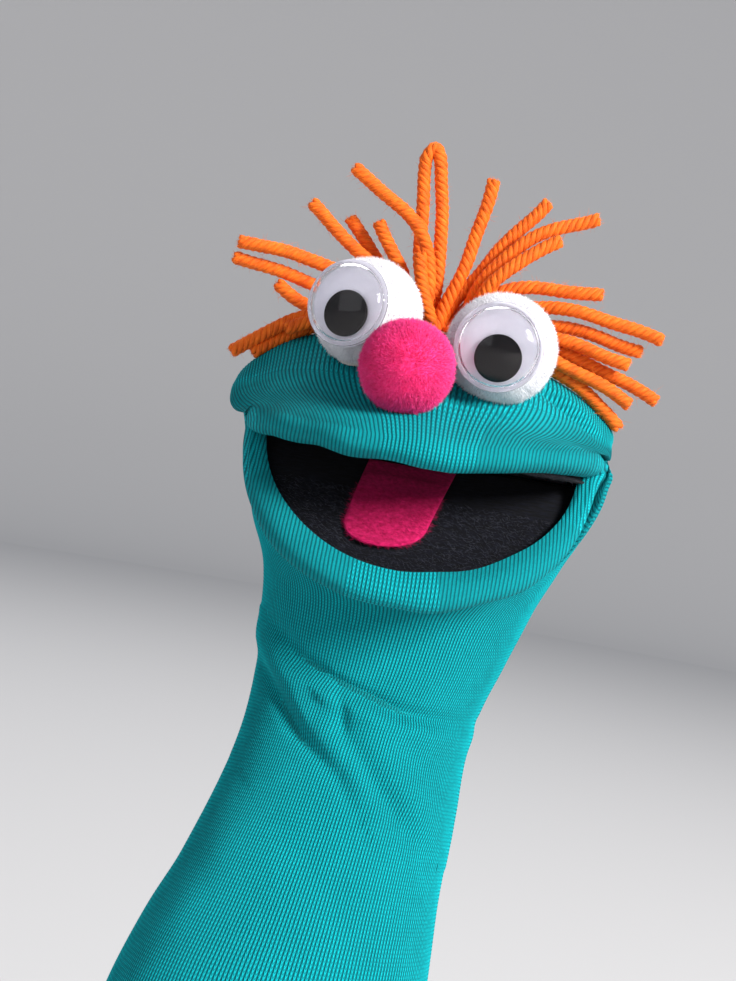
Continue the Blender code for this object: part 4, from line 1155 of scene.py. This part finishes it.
def strand(name, path, nodes, seed, plies=4, ends=True):
    rng = np.random.default_rng(seed)
    c = spline(path)
    # a little kink, as yarn has when it is cut from a ball
    s = np.concatenate([[0], np.cumsum(np.linalg.norm(np.diff(c, axis=0), axis=1))])
    t = unit(np.gradient(c, axis=0))
    a = unit(np.cross(t[0], [0.3, 0.8, 0.5]))
    fr = []
    for k in range(len(c)):
        a = unit(a - t[k] * (a @ t[k]))
        fr.append(a)
    A = np.array(fr)
    B = np.cross(t, A)
    wob = 0.34 * np.sin(s / 4.1 + rng.random() * 6)[:, None] * A + 0.34 * np.sin(s / 5.2 + rng.random() * 6)[:, None] * B
    c = c + wob * np.clip(s / 8, 0, 1)[:, None]
    pitch = 7.4 + rng.random()
    sides = 8
    verts, quads, tris, uv = [], [], [], []
    L = s[-1]
    phase0 = rng.random() * 6.28
    flare = np.clip((s - (L - 2.2)) / 2.2, 0, 1) if ends else np.zeros_like(s)
    for p in range(plies):
        ang = -2 * math.pi * s / pitch + phase0 + 2 * math.pi * p / plies
        off = 0.98 + 0.36 * flare ** 1.5
        pc = c + A * (off * np.cos(ang))[:, None] + B * (off * np.sin(ang))[:, None]
        pt = unit(np.gradient(pc, axis=0))
        pa = unit(np.cross(pt, t + 1e-6 * A))
        pa = np.where(np.linalg.norm(np.cross(pt, t), axis=1, keepdims=True) > 1e-4, pa, A)
        pb = np.cross(pt, pa)
        r = 1.0 * (1 + 0.06 * np.sin(s * 1.9 + p * 2)) * (1 - 0.35 * flare ** 2)
        base = len(verts)
        for k in range(len(c)):
            for q in range(sides):
                w = 2 * math.pi * q / sides
                verts.append(pc[k] + pa[k] * r[k] * math.cos(w) + pb[k] * r[k] * math.sin(w))
                uv.append((q / sides, s[k]))
        n = len(c)
        for k in range(n - 1):
            for q in range(sides):
                q2 = (q + 1) % sides
                quads.append((base + k * sides + q, base + k * sides + q2, base + (k + 1) * sides + q2, base + (k + 1) * sides + q))
        for k, flip in ((0, True), (n - 1, False)):
            ci = len(verts)
            verts.append(pc[k] + pt[k] * (0.35 if k else -0.2))
            uv.append((0.5, s[k]))
            for q in range(sides):
                q2 = (q + 1) % sides
                f = (base + k * sides + q, base + k * sides + q2, ci)
                tris.append(f[::-1] if flip else f)
    o = np_mesh(name, verts, quads, tris, uv=uv)
    # loose fibres along the strand and a brush at the cut end
    nf = int(L * 4.4)
    k = rng.integers(2, len(c) - 1, nf)
    w = rng.random(nf) * 2 * math.pi
    rad = A[k] * np.cos(w)[:, None] + B[k] * np.sin(w)[:, None]
    root = c[k] + rad * 1.75
    dr = rad * 0.45 + t[k] * rng.normal(0, 0.8, nf)[:, None] + rng.normal(0, 0.3, (nf, 3))
    pieces = [fibres(name + "_f", root, dr, 0.9 + 1.5 * rng.random(nf), 0.042, bend=rng.normal(0, 0.45, (nf, 3)), seg=3)]
    if ends:
        ne = 46
        w = rng.random(ne) * 2 * math.pi
        rr = 1.35 * np.sqrt(rng.random(ne))
        rad = A[-1] * np.cos(w)[:, None] + B[-1] * np.sin(w)[:, None]
        root = c[-1] + rad * rr[:, None] - t[-1] * 0.3
        pieces.append(fibres(name + "_e", root, t[-1] + rad * 0.25 * rr[:, None] + rng.normal(0, 0.12, (ne, 3)), 0.5 + 0.9 * rng.random(ne), 0.07, seg=2))
    fuzz = join(pieces, name + "_fuzz")
    dress(o, YARN)
    dress(fuzz, FUZZ)
    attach(o, "upper_jaw")
    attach(fuzz, "upper_jaw")
    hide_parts(*nodes)
    return o


LOOP = (10, 11)
for i, path in enumerate(PATHS):
    if i in LOOP:
        continue
    strand("hair_%02d" % (i + 1), path, ["yarn_%02d" % (i + 1)], 100 + i)
a, b = PATHS[LOOP[0]], PATHS[LOOP[1]]
top = (a[-1] + b[-1]) / 2 + np.array([0, 0, 1.6])
half_gap = max(1.75, np.linalg.norm(a[-1] - b[-1]) / 2)
loop_path = np.concatenate([a[:-1], [a[-1] + [0.2, 0, -0.8]], [top], [b[-1] + [-0.2, 0, -0.8]], b[:-1][::-1]])
strand("hair_loop", loop_path, ["yarn_11", "yarn_12"], 99, ends=False)

# ---------------------------------------------------------------- stage, light, camera
def stage_ring(name, prof, color, wall):
    """A turned part of the pale seamless stage round the object."""
    n, seg = len(prof), 96
    vs = [(r * math.cos(math.tau * j / seg), r * math.sin(math.tau * j / seg), z) for j in range(seg) for r, z in prof]
    fs = [(j * n + i, j * n + i + 1, (j + 1) % seg * n + i + 1, (j + 1) % seg * n + i) for j in range(seg) for i in range(n - 1)]
    me = bpy.data.meshes.new(name)
    me.from_pydata(vs, [], [f[::-1] for f in fs])
    me.shade_smooth()
    o = bpy.data.objects.new(name, me)
    bpy.context.scene.collection.objects.link(o)
    m, nt, b = new_mat(name)
    b.inputs["Base Color"].default_value = (*color, 1)
    b.inputs["Roughness"].default_value = 0.95
    b.inputs["Specular IOR Level"].default_value = 0.1
    o.data.materials.append(m)
    if wall:
        o.visible_diffuse = o.visible_glossy = o.visible_transmission = o.visible_shadow = False


def stage_floor():
    stage_ring("floor", [(0.001, 0.0), (0.5, 0.0), (1.5, 0.0), (3.0, 0.0)], (0.62, 0.615, 0.62), False)
    stage_ring("backdrop", [(3.0, 0.0)] + [(3.0 + 1.0 * math.sin(u), 1.0 - math.cos(u)) for u in np.linspace(0.1, math.pi / 2, 16)] + [(4.0, 6.0)], (0.62, 0.615, 0.62), True)


stage_floor()
world = bpy.data.worlds.new("studio")
bpy.context.scene.world = world
world.use_nodes = True
bg = world.node_tree.nodes["Background"]
bg.inputs[0].default_value = (0.90, 0.93, 1.0, 1)
bg.inputs[1].default_value = 0.38
bpy.context.scene.view_settings.view_transform = "Standard"


def area_light(name, at, aim, power, size, color=(1, 1, 1)):
    l = bpy.data.lights.new(name, "AREA")
    l.energy = power
    l.shape = "RECTANGLE"
    l.size, l.size_y = size
    l.color = color
    o = bpy.data.objects.new(name, l)
    bpy.context.scene.collection.objects.link(o)
    o.location = at
    o.rotation_euler = (Vector(aim) - Vector(at)).to_track_quat("-Z", "Y").to_euler()
    return o


AIM = head_pt(0, -20, -20)
area_light("key", (1.60, -1.45, 1.30), AIM, 108.0, (0.75, 0.75), (1.0, 0.98, 0.95))
area_light("fill", (-1.4, -2.0, 0.9), AIM, 8.0, (1.6, 1.6), (0.95, 0.96, 1.0))
area_light("top", (-0.3, 1.2, 2.0), AIM, 14.0, (1.0, 1.0))

cam = bpy.data.objects.new("camera", bpy.data.cameras.new("camera"))
bpy.context.scene.collection.objects.link(cam)
cam.data.lens = 54.7
cam.data.sensor_width = 36.0
cam.data.clip_start = 0.01
cam.data.clip_end = 30.0
cam.location = head_pt(-13.1, -420.0, -13.3)
cam.rotation_euler = (Matrix.Rotation(math.radians(-10.0), 4, "Y") @ Matrix.Rotation(math.radians(90), 4, "X")).to_euler()
bpy.context.scene.camera = cam
